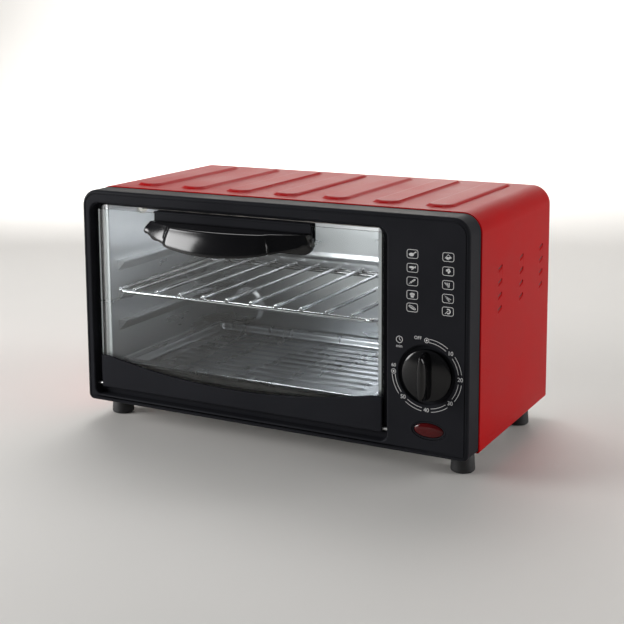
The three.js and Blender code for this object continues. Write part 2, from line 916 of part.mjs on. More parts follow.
// ---- door
function doorGlass() {
  const bottom = doorBottom + trimThickness + clearance;
  const plate = platedY(
    roundedRectangle(doorLeft, doorRight, bottom, doorTop, glassCornerTop, glassCornerBottom),
    glassFront,
    glassBack,
    3,
  );
  const screwHoles = handleScrewXs().map((x) =>
    cylinderY(x, handleScrewZ, screwShankRadius + glassHoleGap, glassFront - 1, glassBack + 1, 12),
  );
  const reliefTop = hingeZ + hingePinRadius + clearance;
  const pinRelief = hingePinXs().map(([x0, x1]) =>
    box(x0 - clearance, x1 + clearance, glassFront - 1, glassBack + 1, 0, reliefTop),
  );
  return cut(plate, [...screwHoles, ...pinRelief]);
}

// Front of the lower trim: level at both ends, with a long shallow dip between.
function trimFrontOutline() {
  const ends = doorBottom + trimEndHeight;
  const left = doorLeft + trimFlatEnd;
  const right = doorRight - trimFlatEnd;
  const shape = new THREE.Shape();
  shape.moveTo(doorLeft, doorBottom);
  shape.lineTo(doorRight, doorBottom);
  shape.lineTo(doorRight, ends);
  shape.lineTo(right, ends);
  shape.quadraticCurveTo(doorMiddle, ends - 2 * trimSag, left, ends);
  shape.lineTo(doorLeft, ends);
  return shape;
}

function doorTrim() {
  const front = platedY(trimFrontOutline(), doorSetback, doorSetback + trimThickness, 14);
  const fold = doorBottom + trimThickness;
  const rearTop = doorBottom + trimRearHeight;
  const under = box(doorLeft, doorRight, doorSetback, trimBack, doorBottom, fold);
  const back = box(doorLeft, doorRight, trimBack - trimThickness, trimBack, doorBottom, rearTop);
  return joined([front, under, back]);
}

// Where the two pins lie along X, inside the trim and out to the frame.
function hingePinXs() {
  return [
    [openLeft - hingeBearing, doorLeft + hingePinInsert],
    [doorRight - hingePinInsert, openRight + hingeBearing],
  ];
}

function hingePin([x0, x1]) {
  return cylinderX(hingeY, hingeZ, hingePinRadius, x0, x1, 12);
}

function doorBracket() {
  const left = doorMiddle - bracketWidth / 2;
  const right = doorMiddle + bracketWidth / 2;
  const back = glassBack + clearance + bracketRearLeg;
  const bottom = bracketTop - bracketHeight;
  const whole = box(left, right, bracketFront, back, bottom, bracketTop);
  const glassSlot = box(
    left - 1,
    right + 1,
    glassFront - clearance,
    glassBack + clearance,
    bottom - 1,
    doorTop + clearance,
  );
  const screwHoles = handleScrewXs().map((x) =>
    cylinderY(x, handleScrewZ, screwShankRadius + clearance, bracketFront - 1, back + 1, 10),
  );
  return cut(whole, [glassSlot, ...screwHoles]);
}

function handleScrewXs() {
  return [doorMiddle - handleScrewSpacing / 2, doorMiddle + handleScrewSpacing / 2];
}

// The region in front of the door out to a bowed front, offset outwards by some distance.
function handlePlan(offset, halfWidth, back) {
  const arcY = bracketFront - handleReach + handleArcRadius;
  const radius = handleArcRadius + offset;
  const spread = Math.asin(halfWidth / radius);
  const shape = new THREE.Shape();
  shape.moveTo(doorMiddle + halfWidth, back);
  shape.lineTo(doorMiddle - halfWidth, back);
  shape.absarc(doorMiddle, arcY, radius, 1.5 * Math.PI - spread, 1.5 * Math.PI + spread);
  shape.lineTo(doorMiddle + halfWidth, back);
  return shape;
}

// The handle's front elevation: level top, and a lower edge that bows downwards.
function handleElevation(halfWidth) {
  const tipDepth = handleTipDepth;
  const shape = new THREE.Shape();
  shape.moveTo(doorMiddle - halfWidth, handleTop);
  shape.lineTo(doorMiddle - halfWidth, handleTop - tipDepth);
  shape.quadraticCurveTo(
    doorMiddle,
    handleTop - 2 * handleMiddleDepth + tipDepth,
    doorMiddle + halfWidth,
    handleTop - tipDepth,
  );
  shape.lineTo(doorMiddle + halfWidth, handleTop);
  return shape;
}

// One of the pads behind the wings, with its lower outer corner rounded.
function handlePad(side) {
  const outer = handleWidth / 2 - clearance;
  const inner = gripWidth / 2;
  const low = handleTop - handlePadDepth;
  const points = [
    [inner, handleTop - 1],
    [inner, low],
  ];
  const corner = new THREE.Path();
  corner.absarc(outer - handlePadCorner, low + handlePadCorner, handlePadCorner, -Math.PI / 2, 0);
  const rounded = corner.getPoints(handlePadSteps).map((p) => [p.x, p.y]);
  const outline = [...points, ...rounded, [outer, handleTop - 1]];
  const placed = outline.map(([x, z]) => [doorMiddle + side * x, z]);
  return polygon(side > 0 ? placed : placed.reverse());
}

function doorHandle() {
  const half = handleWidth / 2;
  const low = handleTop - 2 * handleMiddleDepth;
  const elevation = platedY(handleElevation(half), gripFront - 5, handleBack, 14);
  const wings = platedZ(handlePlan(0, half, handleBack), low, handleTop, 16);
  const grip = platedZ(handlePlan(gripProud, gripWidth / 2, handleBack), low, handleTop, 12);
  const hollow = platedZ(
    handlePlan(-handleSkinFront, half - handleSkinFront, handleBack + 1),
    low - 1,
    handleTop - handleSkinTop,
    16,
  );
  const ends = [-1, 1].map((side) => {
    const outer = doorMiddle + side * half;
    const inner = outer - side * handleSkinFront;
    return box(
      Math.min(outer, inner),
      Math.max(outer, inner),
      handleBack - handleTipReach,
      handleBack,
      handleTop - handleEndDepth,
      handleTop,
    );
  });
  const pads = [-1, 1].map((side) =>
    platedY(handlePad(side), handleBack - handlePadThickness, handleBack, 6),
  );
  const bosses = handleScrewXs().map((x) =>
    cylinderY(x, handleScrewZ, handleBossRadius, handleBack - handleBossLength, handleBack, 12),
  );
  const boreEnd = handleBack - handleBossLength + handleBossFloor;
  const bossBores = handleScrewXs().map((x) =>
    cylinderY(x, handleScrewZ, screwShankRadius + clearance, boreEnd, handleBack + 1, 10),
  );
  const body = joined([wings, grip]).intersect(elevation).subtract(hollow);
  return cut(joined([body, ...ends, ...pads, ...bosses]), bossBores);
}

function handleScrew(x) {
  const seat = glassBack + 2 * clearance + bracketRearLeg;
  const tip = handleBack - handleBossLength + handleBossFloor + handleScrewTipGap;
  const profile = [
    [0, tip],
    [screwShankRadius, tip],
    [screwShankRadius, seat],
    [screwHeadRadius, seat],
    [screwHeadRadius * handleScrewDome, seat + handleScrewHead],
    [0, seat + handleScrewHead],
  ];
  return turnedY(profile, x, handleScrewZ, 12);
}

// ---- control panel
function timerKnob() {
  const back = dishDepth - knobFaceGap;
  const rim = back - knobSkirtDepth;
  const crown = rim - knobCrown;
  const disc = turnedY(
    [
      [0, crown],
      [knobRadius * knobDomeShare, crown + knobDomeDrop],
      [knobRadius - knobRimBand, rim + knobRimDrop],
      [knobRadius, rim + knobRimBand],
      [knobRadius, back],
      [0, back],
    ],
    knobX,
    knobZ,
    28,
  );
  const barShape = new THREE.Shape();
  barShape.absellipse(knobX, knobZ, knobGripWidth / 2, knobGripHeight / 2, 0, 2 * Math.PI);
  const bar = platedY(barShape, crown - knobGripReach, rim + knobRimBand, 10);
  const bore = cylinderY(knobX, knobZ, shaftRadius + clearance, crown - 1, back + 1, 12);
  return joined([disc, bar]).subtract(bore);
}

function timerShaft() {
  const rim = dishDepth - knobFaceGap - knobSkirtDepth;
  return cylinderY(
    knobX,
    knobZ,
    shaftRadius,
    rim - knobCrown - 1 + clearance,
    dishDepth + frameWall + clearance + shaftInsert,
    12,
  );
}

function timerBody() {
  const front = dishDepth + frameWall + clearance;
  const half = timerSize / 2;
  const block = box(knobX - half, knobX + half, front, front + timerDepth, knobZ - half, knobZ + half);
  const bore = cylinderY(knobX, knobZ, shaftRadius + shaftBearingGap, front - 1, front + shaftInsert + 1, 12);
  return block.subtract(bore);
}

function timerBell() {
  const front = dishDepth + frameWall + 2 * clearance + timerDepth;
  const rim = front + bellRimGap;
  const crown = front + bellDepth;
  const shoulder = crown - bellCrown;
  const profile = [
    [0, front],
    [bellStemRadius, front],
    [bellStemRadius, shoulder],
    [bellRadius - bellWall, shoulder - bellWall],
    [bellRadius - bellWall, rim],
    [bellRadius, rim],
    [bellRadius, shoulder],
    [bellRadius - bellCrownInset, crown],
    [0, crown],
  ];
  return turnedY(profile, knobX, knobZ, 20);
}

// The indicator lens's oval outline, grown outwards by some distance.
function lampOutline(grow) {
  return ellipse(lampX, lampZ, lensWidth + 2 * grow, lensHeight + 2 * grow);
}

function indicatorBezel() {
  const outer = platedY(lampOutline(bezelWall + clearance), bezelRecess, lensDepth, 10);
  const inner = platedY(lampOutline(clearance), bezelRecess - 1, lensDepth + 1, 10);
  return outer.subtract(inner);
}

function indicatorLens() {
  return platedY(lampOutline(0), -lensProud, lensDepth, 10);
}

function indicatorLamp() {
  const front = lensDepth + clearance;
  const holder = front + bulbLength - bulbHolderOverlap;
  return joined([
    cylinderY(lampX, lampZ, bulbRadius, front, front + bulbLength, 12),
    box(
      lampX - bulbHolderWidth / 2,
      lampX + bulbHolderWidth / 2,
      holder,
      holder + bulbHolderDepth,
      lampZ - bulbHolderHeight / 2,
      lampZ + bulbHolderHeight / 2,
    ),
  ]);
}

function terminalBlock() {
  const x = terminalX;
  const y = terminalY;
  const floor = baseTop + clearance;
  const halfWidth = terminalWidth / 2;
  const halfDepth = terminalDepth / 2;
  const top = floor + terminalHeight;
  const block = box(x - halfWidth, x + halfWidth, y - halfDepth, y + halfDepth, floor, top);
  const grooves = [-1, 1].map((side) => {
    const left = x + (side * terminalGroovePitch - terminalGrooveWidth) / 2;
    const right = left + terminalGrooveWidth;
    return box(left, right, y - halfDepth - 1, y + halfDepth + 1, top - terminalGrooveDepth, top + 1);
  });
  return cut(block, grooves);
}

function thermalFuse() {
  const x = cavityRight + sheet + clearance;
  const y = (elementYs.front + elementYs.rear) / 2;
  const z = elementZs.upper;
  const halfLength = fuseFlangeLength / 2;
  const halfHeight = fuseFlangeHeight / 2;
  return joined([
    cylinderX(y, z, fuseRadius, x, x + fuseDepth, 16),
    box(x, x + fuseFlange, y - halfLength, y + halfLength, z - halfHeight, z + halfHeight),
  ]);
}

// Leads from the terminal block, and from the timer to the upper elements.
function leads() {
  const blockX = terminalX;
  const blockY = terminalY;
  const blockTop = baseTop + clearance + terminalHeight + clearance;
  const timerBack = dishDepth + frameWall + clearance + timerDepth;
  const endX = cavityRight + elementRightOverhang + clearance + wireRadius;
  return {
    lead_timer: [
      [blockX + 12, blockY - 3, blockTop + wireRadius],
      [blockX + 14, blockY - 20, blockTop + 22],
      [knobX + timerSize / 2 - 2, timerBack + 24, knobZ - 20],
      [knobX + timerSize / 2 - 2, timerBack + 1, knobZ - 12],
    ],
    lead_upper_elements: [
      [knobX - timerSize / 2 + 2, timerBack + 1, knobZ + 14],
      [knobX - timerSize / 2 + 4, timerBack + 20, knobZ + 40],
      [endX + 5, elementYs.rear - 14, elementZs.upper - 16],
      [endX, elementYs.rear, elementZs.upper],
    ],
    lead_lower_elements: [
      [blockX - 12, blockY - 3, blockTop + wireRadius],
      [blockX - 14, blockY - 10, blockTop + 14],
      [endX + 6, elementYs.rear + 4, elementZs.lower + 18],
      [endX, elementYs.rear, elementZs.lower + 1],
    ],
  };
}

// ---- rack and tray
function wireRack() {
  const half = (cavityRight - cavityLeft) / 2 - rackSideClearance;
  const frontY = ringFront + rackFrontGap + rackWireRadius / 2;
  const rearY = cavityBack - rackRearGap;
  const z = frameBottom + railTops[2] + clearance + rackWireRadius;
  const left = cavityMiddle - half + rackWireRadius;
  const right = cavityMiddle + half - rackWireRadius;
  const rim = wireRun(
    [
      [left, frontY, z],
      [right, frontY, z],
      [right, rearY, z],
      [left, rearY, z],
      [left, frontY, z],
    ],
    rackWireRadius,
  );
  const secondRear = wireRun(
    [
      [left, rearY - rackRearPairGap, z],
      [right, rearY - rackRearPairGap, z],
    ],
    rackWireRadius,
  );
  const lengthwise = Array.from({ length: rackWireCount }, (_, i) => {
    const x = cavityMiddle + (i - (rackWireCount - 1) / 2) * rackWirePitch;
    return wireRun(
      [
        [x, frontY, z + rackWireLift],
        [x, rearY + rackWireOverrun, z + rackWireLift],
      ],
      rackWireRadius,
    );
  });
  return joined([rim, secondRear, ...lengthwise]);
}

// A rounded rectangle in X and Y that is inset from the tray's rim.
function trayOutline(inset) {
  const half = (cavityRight - cavityLeft) / 2 - traySideClearance - inset;
  return roundedRectangle(
    cavityMiddle - half,
    cavityMiddle + half,
    ringFront + trayFrontGap + inset,
    cavityBack - trayRearGap - inset,
    trayCorner - inset / 2,
  );
}

// An outline's points once round, with those that fall on one another taken once.
function ringPoints(outline, curveSegments) {
  const points = outline.getPoints(curveSegments).slice(0, -1);
  return points.filter((p, i) => i === 0 || p.distanceTo(points[i - 1]) > 1e-6);
}

// A sloping-sided solid between two outlines that have the same number of points.
function lofted(lower, z0, upper, z1, curveSegments) {
  const a = ringPoints(lower, curveSegments);
  const b = ringPoints(upper, curveSegments);
  const count = a.length;
  const centre = (ring) => ring.reduce((sum, p) => sum.add(p), new THREE.Vector2()).divideScalar(count);
  const ca = centre(a);
  const cb = centre(b);
  const positions = [
    ...a.flatMap((p) => [p.x, p.y, z0]),
    ...b.flatMap((p) => [p.x, p.y, z1]),
    ca.x,
    ca.y,
    z0,
    cb.x,
    cb.y,
    z1,
  ];
  const index = [];
  for (let i = 0; i < count; i++) {
    const j = (i + 1) % count;
    index.push(i, j, count + j, i, count + j, count + i);
    index.push(j, i, 2 * count);
    index.push(count + i, count + j, 2 * count + 1);
  }
  const geometry = new THREE.BufferGeometry();
  geometry.setAttribute("position", new THREE.Float32BufferAttribute(positions, 3));
  geometry.setIndex(index);
  return solid(geometry);
}

function bakingTray() {
  const rimBottom = frameBottom + railTops[0] + clearance;
  const rimTop = rimBottom + traySheet;
  const floorTop = rimTop - trayDepth;
  const floorInset = trayRim + trayWallRun;
  const rim = platedZ(trayOutline(0), rimBottom, rimTop, 4);
  const pan = lofted(
    trayOutline(floorInset - traySheet),
    floorTop - traySheet,
    trayOutline(trayRim - traySheet),
    rimBottom + 0.2,
    4,
  );
  const inside = lofted(trayOutline(floorInset), floorTop, trayOutline(trayRim), rimTop + 0.01, 4);
  const half = (cavityRight - cavityLeft) / 2 - traySideClearance - floorInset - trayRibMargin;
  const firstY = ringFront + trayFrontGap + floorInset + trayRibFrontMargin;
  const lastY = cavityBack - trayRearGap - floorInset - trayRibWidth;
  const ribCount = Math.floor((lastY - firstY) / trayRibPitch) + 1;
  const ribs = [];
  for (let i = 0; i < ribCount; i++) {
    const y = firstY + i * trayRibPitch;
    const section = polygon([
      [y - trayRibWidth / 2, floorTop - traySheet / 2],
      [y + trayRibWidth / 2, floorTop - traySheet / 2],
      [y, floorTop + trayRibHeight],
    ]);
    ribs.push(platedX(section, cavityMiddle - half, cavityMiddle + half));
  }
  return joined([cut(joined([rim, pan]), [inside]), ...ribs]);
}

// ---------------------------------------------------------------- assembly
const group = new THREE.Group();

function addPiece(name, piece, material) {
  const made = piece.getMesh();
  const geometry = new THREE.BufferGeometry();
  geometry.setAttribute("position", new THREE.BufferAttribute(new Float32Array(made.vertProperties), 3));
  geometry.setIndex(new THREE.BufferAttribute(new Uint32Array(made.triVerts), 1));
  geometry.computeVertexNormals();
  const mesh = new THREE.Mesh(geometry, material);
  mesh.name = name;
  group.add(mesh);
}

addPiece("outer_casing", outerCasing(), redPaint);
addPiece("front_frame", frontFrame(), blackPaint);
addPiece("base_plate", basePlate(), galvanised);
addPiece("rear_panel", rearPanel(), galvanised);
addPiece("cord_gland", cordGland(), rubberFinish);
casingScrewPlaces().forEach((place, i) => addPiece(`casing_screw_${i + 1}`, casingScrew(place), zincFinish));
for (const place of footPlaces()) {
  addPiece(`foot_${place.name}`, foot(place), rubberFinish);
  addPiece(`foot_screw_${place.name}`, footScrew(place), zincFinish);
}

addPiece("cavity_front_ring", cavityFrontRing(), galvanised);
addPiece("cavity_left_wall", cavitySideWall(cavityLeft, -1), galvanised);
addPiece("cavity_right_wall", cavitySideWall(cavityRight, 1), galvanised);
addPiece("cavity_roof", cavityRoof(), galvanised);
addPiece("cavity_floor", cavityFloor(), galvanised);
addPiece("cavity_back_wall", cavityBackWall(), galvanised);
for (const place of elementPlaces()) {
  addPiece(`element_${place.name}`, elementRod(place), elementFinish);
  addPiece(`insulator_${place.name}_left`, insulator(place, cavityLeft, -1), ceramicFinish);
  addPiece(`insulator_${place.name}_right`, insulator(place, cavityRight, 1), ceramicFinish);
}

addPiece("door_glass", doorGlass(), glassFinish);
addPiece("door_trim", doorTrim(), blackPaint);
addPiece("door_bracket", doorBracket(), blackPaint);
addPiece("door_handle", doorHandle(), glossBlack);
["left", "right"].forEach((side, i) => {
  addPiece(`hinge_pin_${side}`, hingePin(hingePinXs()[i]), zincFinish);
  addPiece(`handle_screw_${side}`, handleScrew(handleScrewXs()[i]), zincFinish);
});

addPiece("timer_knob", timerKnob(), glossBlack);
addPiece("timer_shaft", timerShaft(), zincFinish);
addPiece("timer_body", timerBody(), zincFinish);
addPiece("timer_bell", timerBell(), brassFinish);
addPiece("indicator_bezel", indicatorBezel(), blackPaint);
addPiece("indicator_lens", indicatorLens(), redLens);
addPiece("indicator_lamp", indicatorLamp(), whiteFinish);
addPiece("terminal_block", terminalBlock(), whiteFinish);
addPiece("thermal_fuse", thermalFuse(), blackPaint);
for (const [name, route] of Object.entries(leads())) addPiece(name, lead(route, wireRadius), redLens);

addPiece("wire_rack", wireRack(), chromeFinish);
addPiece("baking_tray", bakingTray(), trayFinish);

// The origin is under the middle of the whole object, on the surface it stands on.
const rearmost = bodyDepth + clearance + screwHeadHeight;
group.position.y = -(gripFront + rearmost) / 2;

export default group;
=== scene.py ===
"""Looks of a small red toaster oven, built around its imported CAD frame. Lengths are in millimetres
in this file, and every mesh is scaled to metres as it is made."""
import json
import math
from types import SimpleNamespace

import bmesh
import bpy
from mathutils import Matrix, Vector

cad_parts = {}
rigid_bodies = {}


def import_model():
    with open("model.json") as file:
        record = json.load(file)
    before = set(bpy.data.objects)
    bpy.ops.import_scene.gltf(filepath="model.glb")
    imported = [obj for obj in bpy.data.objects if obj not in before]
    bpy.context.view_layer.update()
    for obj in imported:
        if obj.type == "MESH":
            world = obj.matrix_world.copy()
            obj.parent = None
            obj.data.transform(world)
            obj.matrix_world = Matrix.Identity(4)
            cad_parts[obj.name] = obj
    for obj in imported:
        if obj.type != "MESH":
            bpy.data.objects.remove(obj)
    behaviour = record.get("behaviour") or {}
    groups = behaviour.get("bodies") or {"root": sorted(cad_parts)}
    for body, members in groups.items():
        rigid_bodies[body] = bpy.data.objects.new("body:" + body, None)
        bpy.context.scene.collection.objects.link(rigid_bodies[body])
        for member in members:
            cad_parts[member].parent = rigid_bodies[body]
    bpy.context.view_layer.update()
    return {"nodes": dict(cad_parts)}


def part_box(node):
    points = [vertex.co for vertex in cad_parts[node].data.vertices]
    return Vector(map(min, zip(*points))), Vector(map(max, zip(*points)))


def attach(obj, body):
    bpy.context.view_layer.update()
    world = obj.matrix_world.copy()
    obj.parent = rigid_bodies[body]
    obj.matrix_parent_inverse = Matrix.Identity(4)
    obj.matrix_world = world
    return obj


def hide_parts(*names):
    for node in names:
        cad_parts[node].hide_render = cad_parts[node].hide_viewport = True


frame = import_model()

MM = 0.001
scene = bpy.context.scene


def edges(node):
    """The six sides of a CAD node's box, its middle and its size, in millimetres."""
    low, high = (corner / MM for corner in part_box(node))
    return SimpleNamespace(
        x0=low.x, x1=high.x, y0=low.y, y1=high.y, z0=low.z, z1=high.z,
        x=(low.x + high.x) / 2, y=(low.y + high.y) / 2, z=(low.z + high.z) / 2,
        width=high.x - low.x, depth=high.y - low.y, height=high.z - low.z,
    )


# ------ camera
camera_data = bpy.data.cameras.new("camera")
camera_data.sensor_width = 36
camera_data.lens = 73.56
camera_data.shift_y = -0.1795
camera_data.clip_start = 0.05
camera = bpy.data.objects.new("camera", camera_data)
scene.collection.objects.link(camera)
camera.location = (0.5148, -0.9528, 0.3632)
CAMERA_YAW = 28.14
CAMERA_PITCH = -8.67
CAMERA_ROLL = -0.36
camera.rotation_mode = "QUATERNION"
camera.rotation_quaternion = (
    Matrix.Rotation(math.radians(CAMERA_YAW), 3, "Z")
    @ Matrix.Rotation(math.radians(90 + CAMERA_PITCH), 3, "X")
    @ Matrix.Rotation(math.radians(CAMERA_ROLL), 3, "Z")
).to_quaternion()
scene.camera = camera


# ------ materials
def add_node(tree, kind, location=(0, 0), **values):
    """Adds a shader node and sets its properties, or its inputs where no property has the name."""
    node = tree.nodes.new(kind)
    node.location = location
    for key, value in values.items():
        if hasattr(node, key):
            setattr(node, key, value)
        else:
            node.inputs[key.replace("_", " ")].default_value = value
    return node


def surface_noise(tree, scale, detail, stretch=(1, 1, 1)):
    """Noise that is fixed to the piece, stretched along its axes."""
    place = add_node(tree, "ShaderNodeTexCoord", (-1100, 0))
    mapping = add_node(tree, "ShaderNodeMapping", (-900, 0), Scale=stretch)
    noise = add_node(tree, "ShaderNodeTexNoise", (-700, 0), Scale=scale, Detail=detail)
    tree.links.new(place.outputs["Object"], mapping.inputs["Vector"])
    tree.links.new(mapping.outputs["Vector"], noise.inputs["Vector"])
    return noise.outputs["Fac"]


def spread(tree, value, low, high):
    """Maps the middle of a noise's range to low ... high."""
    ranged = add_node(
        tree, "ShaderNodeMapRange", (-480, -200), From_Min=0.3, From_Max=0.7, To_Min=low, To_Max=high
    )
    tree.links.new(value, ranged.inputs["Value"])
    return ranged.outputs["Result"]


def two_tone(tree, value, first, second):
    """Mixes two colours by a noise."""
    mixed = add_node(tree, "ShaderNodeMix", (-300, 200), data_type="RGBA")
    mixed.inputs["A"].default_value = (*first, 1)
    mixed.inputs["B"].default_value = (*second, 1)
    tree.links.new(spread(tree, value, 0, 1), mixed.inputs["Factor"])
    return mixed.outputs["Result"]


def paint_in_shade(tree, colour, axis, start, end, shade_factor):
    """Painted shade: darkens a colour towards one side of the piece, darkest at start and full at end along
    an axis, in metres.
    """
    place = add_node(tree, "ShaderNodeTexCoord", (-900, 500))
    apart = add_node(tree, "ShaderNodeSeparateXYZ", (-700, 500))
    ramp = add_node(
        tree, "ShaderNodeMapRange", (-500, 500), interpolation_type="SMOOTHSTEP",
        From_Min=start, From_Max=end, To_Min=shade_factor, To_Max=1,
    )
    shaded = add_node(tree, "ShaderNodeMix", (-100, 300), data_type="RGBA", blend_type="MULTIPLY")
    shaded.inputs["Factor"].default_value = 1
    tree.links.new(place.outputs["Object"], apart.inputs["Vector"])
    tree.links.new(apart.outputs[axis], ramp.inputs["Value"])
    tree.links.new(colour, shaded.inputs["A"])
    tree.links.new(ramp.outputs["Result"], shaded.inputs["B"])
    return shaded.outputs["Result"]


def finish(name, first, second, roughness, patch=30, stretch=(1, 1, 1), grain=900, bump=0.1,
           bump_stretch=None, painted_shade=None, **uniform):
    """A finish with soft colour patches, uneven gloss and a fine relief.
    roughness is its lowest and highest value; painted shade, if given, darkens one side of the piece;
    uniform holds the shader's own values."""
    material = bpy.data.materials.new(name)
    material.use_nodes = True
    tree = material.node_tree
    shader = tree.nodes["Principled BSDF"]
    for key, value in uniform.items():
        shader.inputs[key.replace("_", " ")].default_value = value
    broad = surface_noise(tree, patch, 4, stretch)
    colour = two_tone(tree, broad, first, second)
    # painted shade: darkens the colour towards one side of the piece
    if painted_shade:
        colour = paint_in_shade(tree, colour, *painted_shade)
    tree.links.new(colour, shader.inputs["Base Color"])
    tree.links.new(spread(tree, broad, *roughness), shader.inputs["Roughness"])
    fine = surface_noise(tree, grain, 2, bump_stretch or stretch)
    relief = add_node(tree, "ShaderNodeBump", (-300, -400), Strength=bump, Distance=0.0002)
    tree.links.new(fine, relief.inputs["Height"])
    tree.links.new(relief.outputs["Normal"], shader.inputs["Normal"])
    return material


def clear_glass():
    """Float glass that lets light straight through and mirrors at a slant."""
    material = bpy.data.materials.new("clear_glass")
    material.use_nodes = True
    tree = material.node_tree
    tree.nodes.remove(tree.nodes["Principled BSDF"])
    output = tree.nodes["Material Output"]
    through = add_node(tree, "ShaderNodeBsdfTransparent", Color=(0.95, 0.97, 0.97, 1))
    mirror = add_node(tree, "ShaderNodeBsdfGlossy", (0, -150), Color=(1, 1, 1, 1))
    smears = surface_noise(tree, 25, 3)
    tree.links.new(spread(tree, smears, 0.015, 0.05), mirror.inputs["Roughness"])
    slant = add_node(tree, "ShaderNodeFresnel", (0, 200), IOR=1.33)
    mixed = add_node(tree, "ShaderNodeMixShader", (250, 0))
    tree.links.new(slant.outputs["Fac"], mixed.inputs["Fac"])
    tree.links.new(through.outputs["BSDF"], mixed.inputs[1])
    tree.links.new(mirror.outputs["BSDF"], mixed.inputs[2])
    tree.links.new(mixed.outputs["Shader"], output.inputs["Surface"])
    return material


LOOKS = {
    "red_paint": finish(
        "red_powder_coat", (0.38, 0.0024, 0.0036), (0.42, 0.0030, 0.0046), (0.30, 0.38),
        patch=14, grain=1100, bump=0.18, Specular_IOR_Level=0.035,
    ),
    "black_paint": finish(
        "satin_black", (0.0155, 0.0160, 0.0190), (0.0190, 0.0195, 0.0230), (0.36, 0.44),
        patch=18, grain=1500, bump=0.12, Specular_IOR_Level=0.05, IOR=1.35,
    ),
    "gloss_black": finish(
        "gloss_black", (0.0030, 0.0030, 0.0036), (0.0050, 0.0050, 0.0060), (0.13, 0.18),
        patch=20, grain=400, bump=0.02, Specular_IOR_Level=0.36,
    ),
    "plated_steel": finish(
        "plated_steel", (0.62, 0.63, 0.65), (0.72, 0.73, 0.74), (0.24, 0.40),
        patch=9, stretch=(1, 1, 5), grain=260, bump=0.14, bump_stretch=(1, 1, 0.12), Metallic=1,
    ),
    "zinc_steel": finish(
        "zinc_steel", (0.50, 0.51, 0.52), (0.64, 0.64, 0.62), (0.28, 0.40),
        patch=160, grain=1800, bump=0.1, Metallic=1,
    ),
    "black_rubber": finish(
        "black_rubber", (0.010, 0.010, 0.011), (0.016, 0.016, 0.017), (0.55, 0.70),
        patch=120, grain=1600, bump=0.25,
    ),
    "element_steel": finish(
        "element_steel", (0.16, 0.15, 0.14), (0.26, 0.24, 0.22), (0.38, 0.55),
        patch=90, grain=1400, bump=0.2, Metallic=1,
    ),
    "white_ceramic": finish(
        "white_ceramic", (0.68, 0.66, 0.61), (0.78, 0.76, 0.72), (0.35, 0.50),
        patch=110, grain=1200, bump=0.15,
    ),
    "bell_brass": finish(
        "bell_brass", (0.52, 0.36, 0.14), (0.64, 0.46, 0.20), (0.20, 0.34),
        patch=90, grain=1500, bump=0.08, Metallic=1,
    ),
    "red_lens": finish(
        "red_lens", (0.055, 0.001, 0.0015), (0.08, 0.001, 0.002), (0.06, 0.10),
        patch=90, grain=500, bump=0.03, Specular_IOR_Level=0.35,
    ),
    "white_plastic": finish(
        "white_plastic", (0.66, 0.66, 0.64), (0.74, 0.74, 0.72), (0.40, 0.50),
        patch=70, grain=1400, bump=0.08,
    ),
    "black_plastic": finish(
        "black_plastic", (0.014, 0.014, 0.015), (0.022, 0.022, 0.023), (0.42, 0.55),
        patch=80, grain=1500, bump=0.15,
    ),
    "lead_sleeve": finish(
        "lead_sleeve", (0.62, 0.60, 0.52), (0.74, 0.72, 0.64), (0.60, 0.75),
        patch=200, grain=2400, bump=0.35,
    ),
    # Painted shade: the rack's wires darken behind their front edge, deeper into the oven.
    "chrome_wire": finish(
        "chrome_wire", (0.78, 0.78, 0.79), (0.86, 0.86, 0.87), (0.10, 0.18),
        patch=80, grain=900, bump=0.03, Metallic=1, painted_shade=("Y", -0.045, -0.060, 0.30),
    ),
    # Painted shade: the tray darkens towards its left side.
    "tray_steel": finish(
        "tray_steel", (0.46, 0.48, 0.51), (0.56, 0.58, 0.61), (0.22, 0.34),
        patch=10, stretch=(4, 1, 1), grain=260, bump=0.03, bump_stretch=(0.12, 1, 1), Metallic=1,
        painted_shade=("X", -0.13, 0.06, 0.22),
    ),
    "clear_glass": clear_glass(),
}
STEEL = dict(
    first=(0.74, 0.76, 0.79), second=(0.85, 0.86, 0.88), roughness=(0.24, 0.36),
    patch=9, stretch=(1, 1, 5), grain=260, bump=0.04, bump_stretch=(1, 1, 0.12), Metallic=1,
)
# Lit and shaded copies of one steel, each with painted shade: the side walls darker towards the bottom, the
# back wall and the floor darker towards the left.
SIDE_STEEL_SHADE_PAINTED = finish("side_wall_steel_shade_painted", painted_shade=("Z", 0.04, 0.17, 0.28), **STEEL)
BACK_STEEL_SHADE_PAINTED = finish("back_wall_steel_shade_painted", painted_shade=("X", -0.17, 0.05, 0.32), **STEEL)
FLOOR_STEEL_SHADE_PAINTED = finish("floor_plate_steel_shade_painted", painted_shade=("X", -0.17, 0.10, 0.25), **STEEL)
PRINT = finish(
    "panel_print", (0.60, 0.60, 0.60), (0.70, 0.70, 0.70), (0.45, 0.55),
    patch=300, grain=2000, bump=0.05,
)


# ------ mesh tools
def add_mesh(name, shape, weld=0):
    """A mesh object from (points, faces) in millimetres, its faces turned one way."""
    verts, faces = shape
    mesh = bpy.data.meshes.new(name)
    mesh.from_pydata([tuple(MM * c for c in v) for v in verts], [], faces)
    bm = bmesh.new()
    bm.from_mesh(mesh)
    if weld:
        bmesh.ops.remove_doubles(bm, verts=bm.verts, dist=weld)
    bmesh.ops.recalc_face_normals(bm, faces=bm.faces)
    bm.to_mesh(mesh)
    bm.free()
    obj = bpy.data.objects.new(name, mesh)
    scene.collection.objects.link(obj)
    return obj


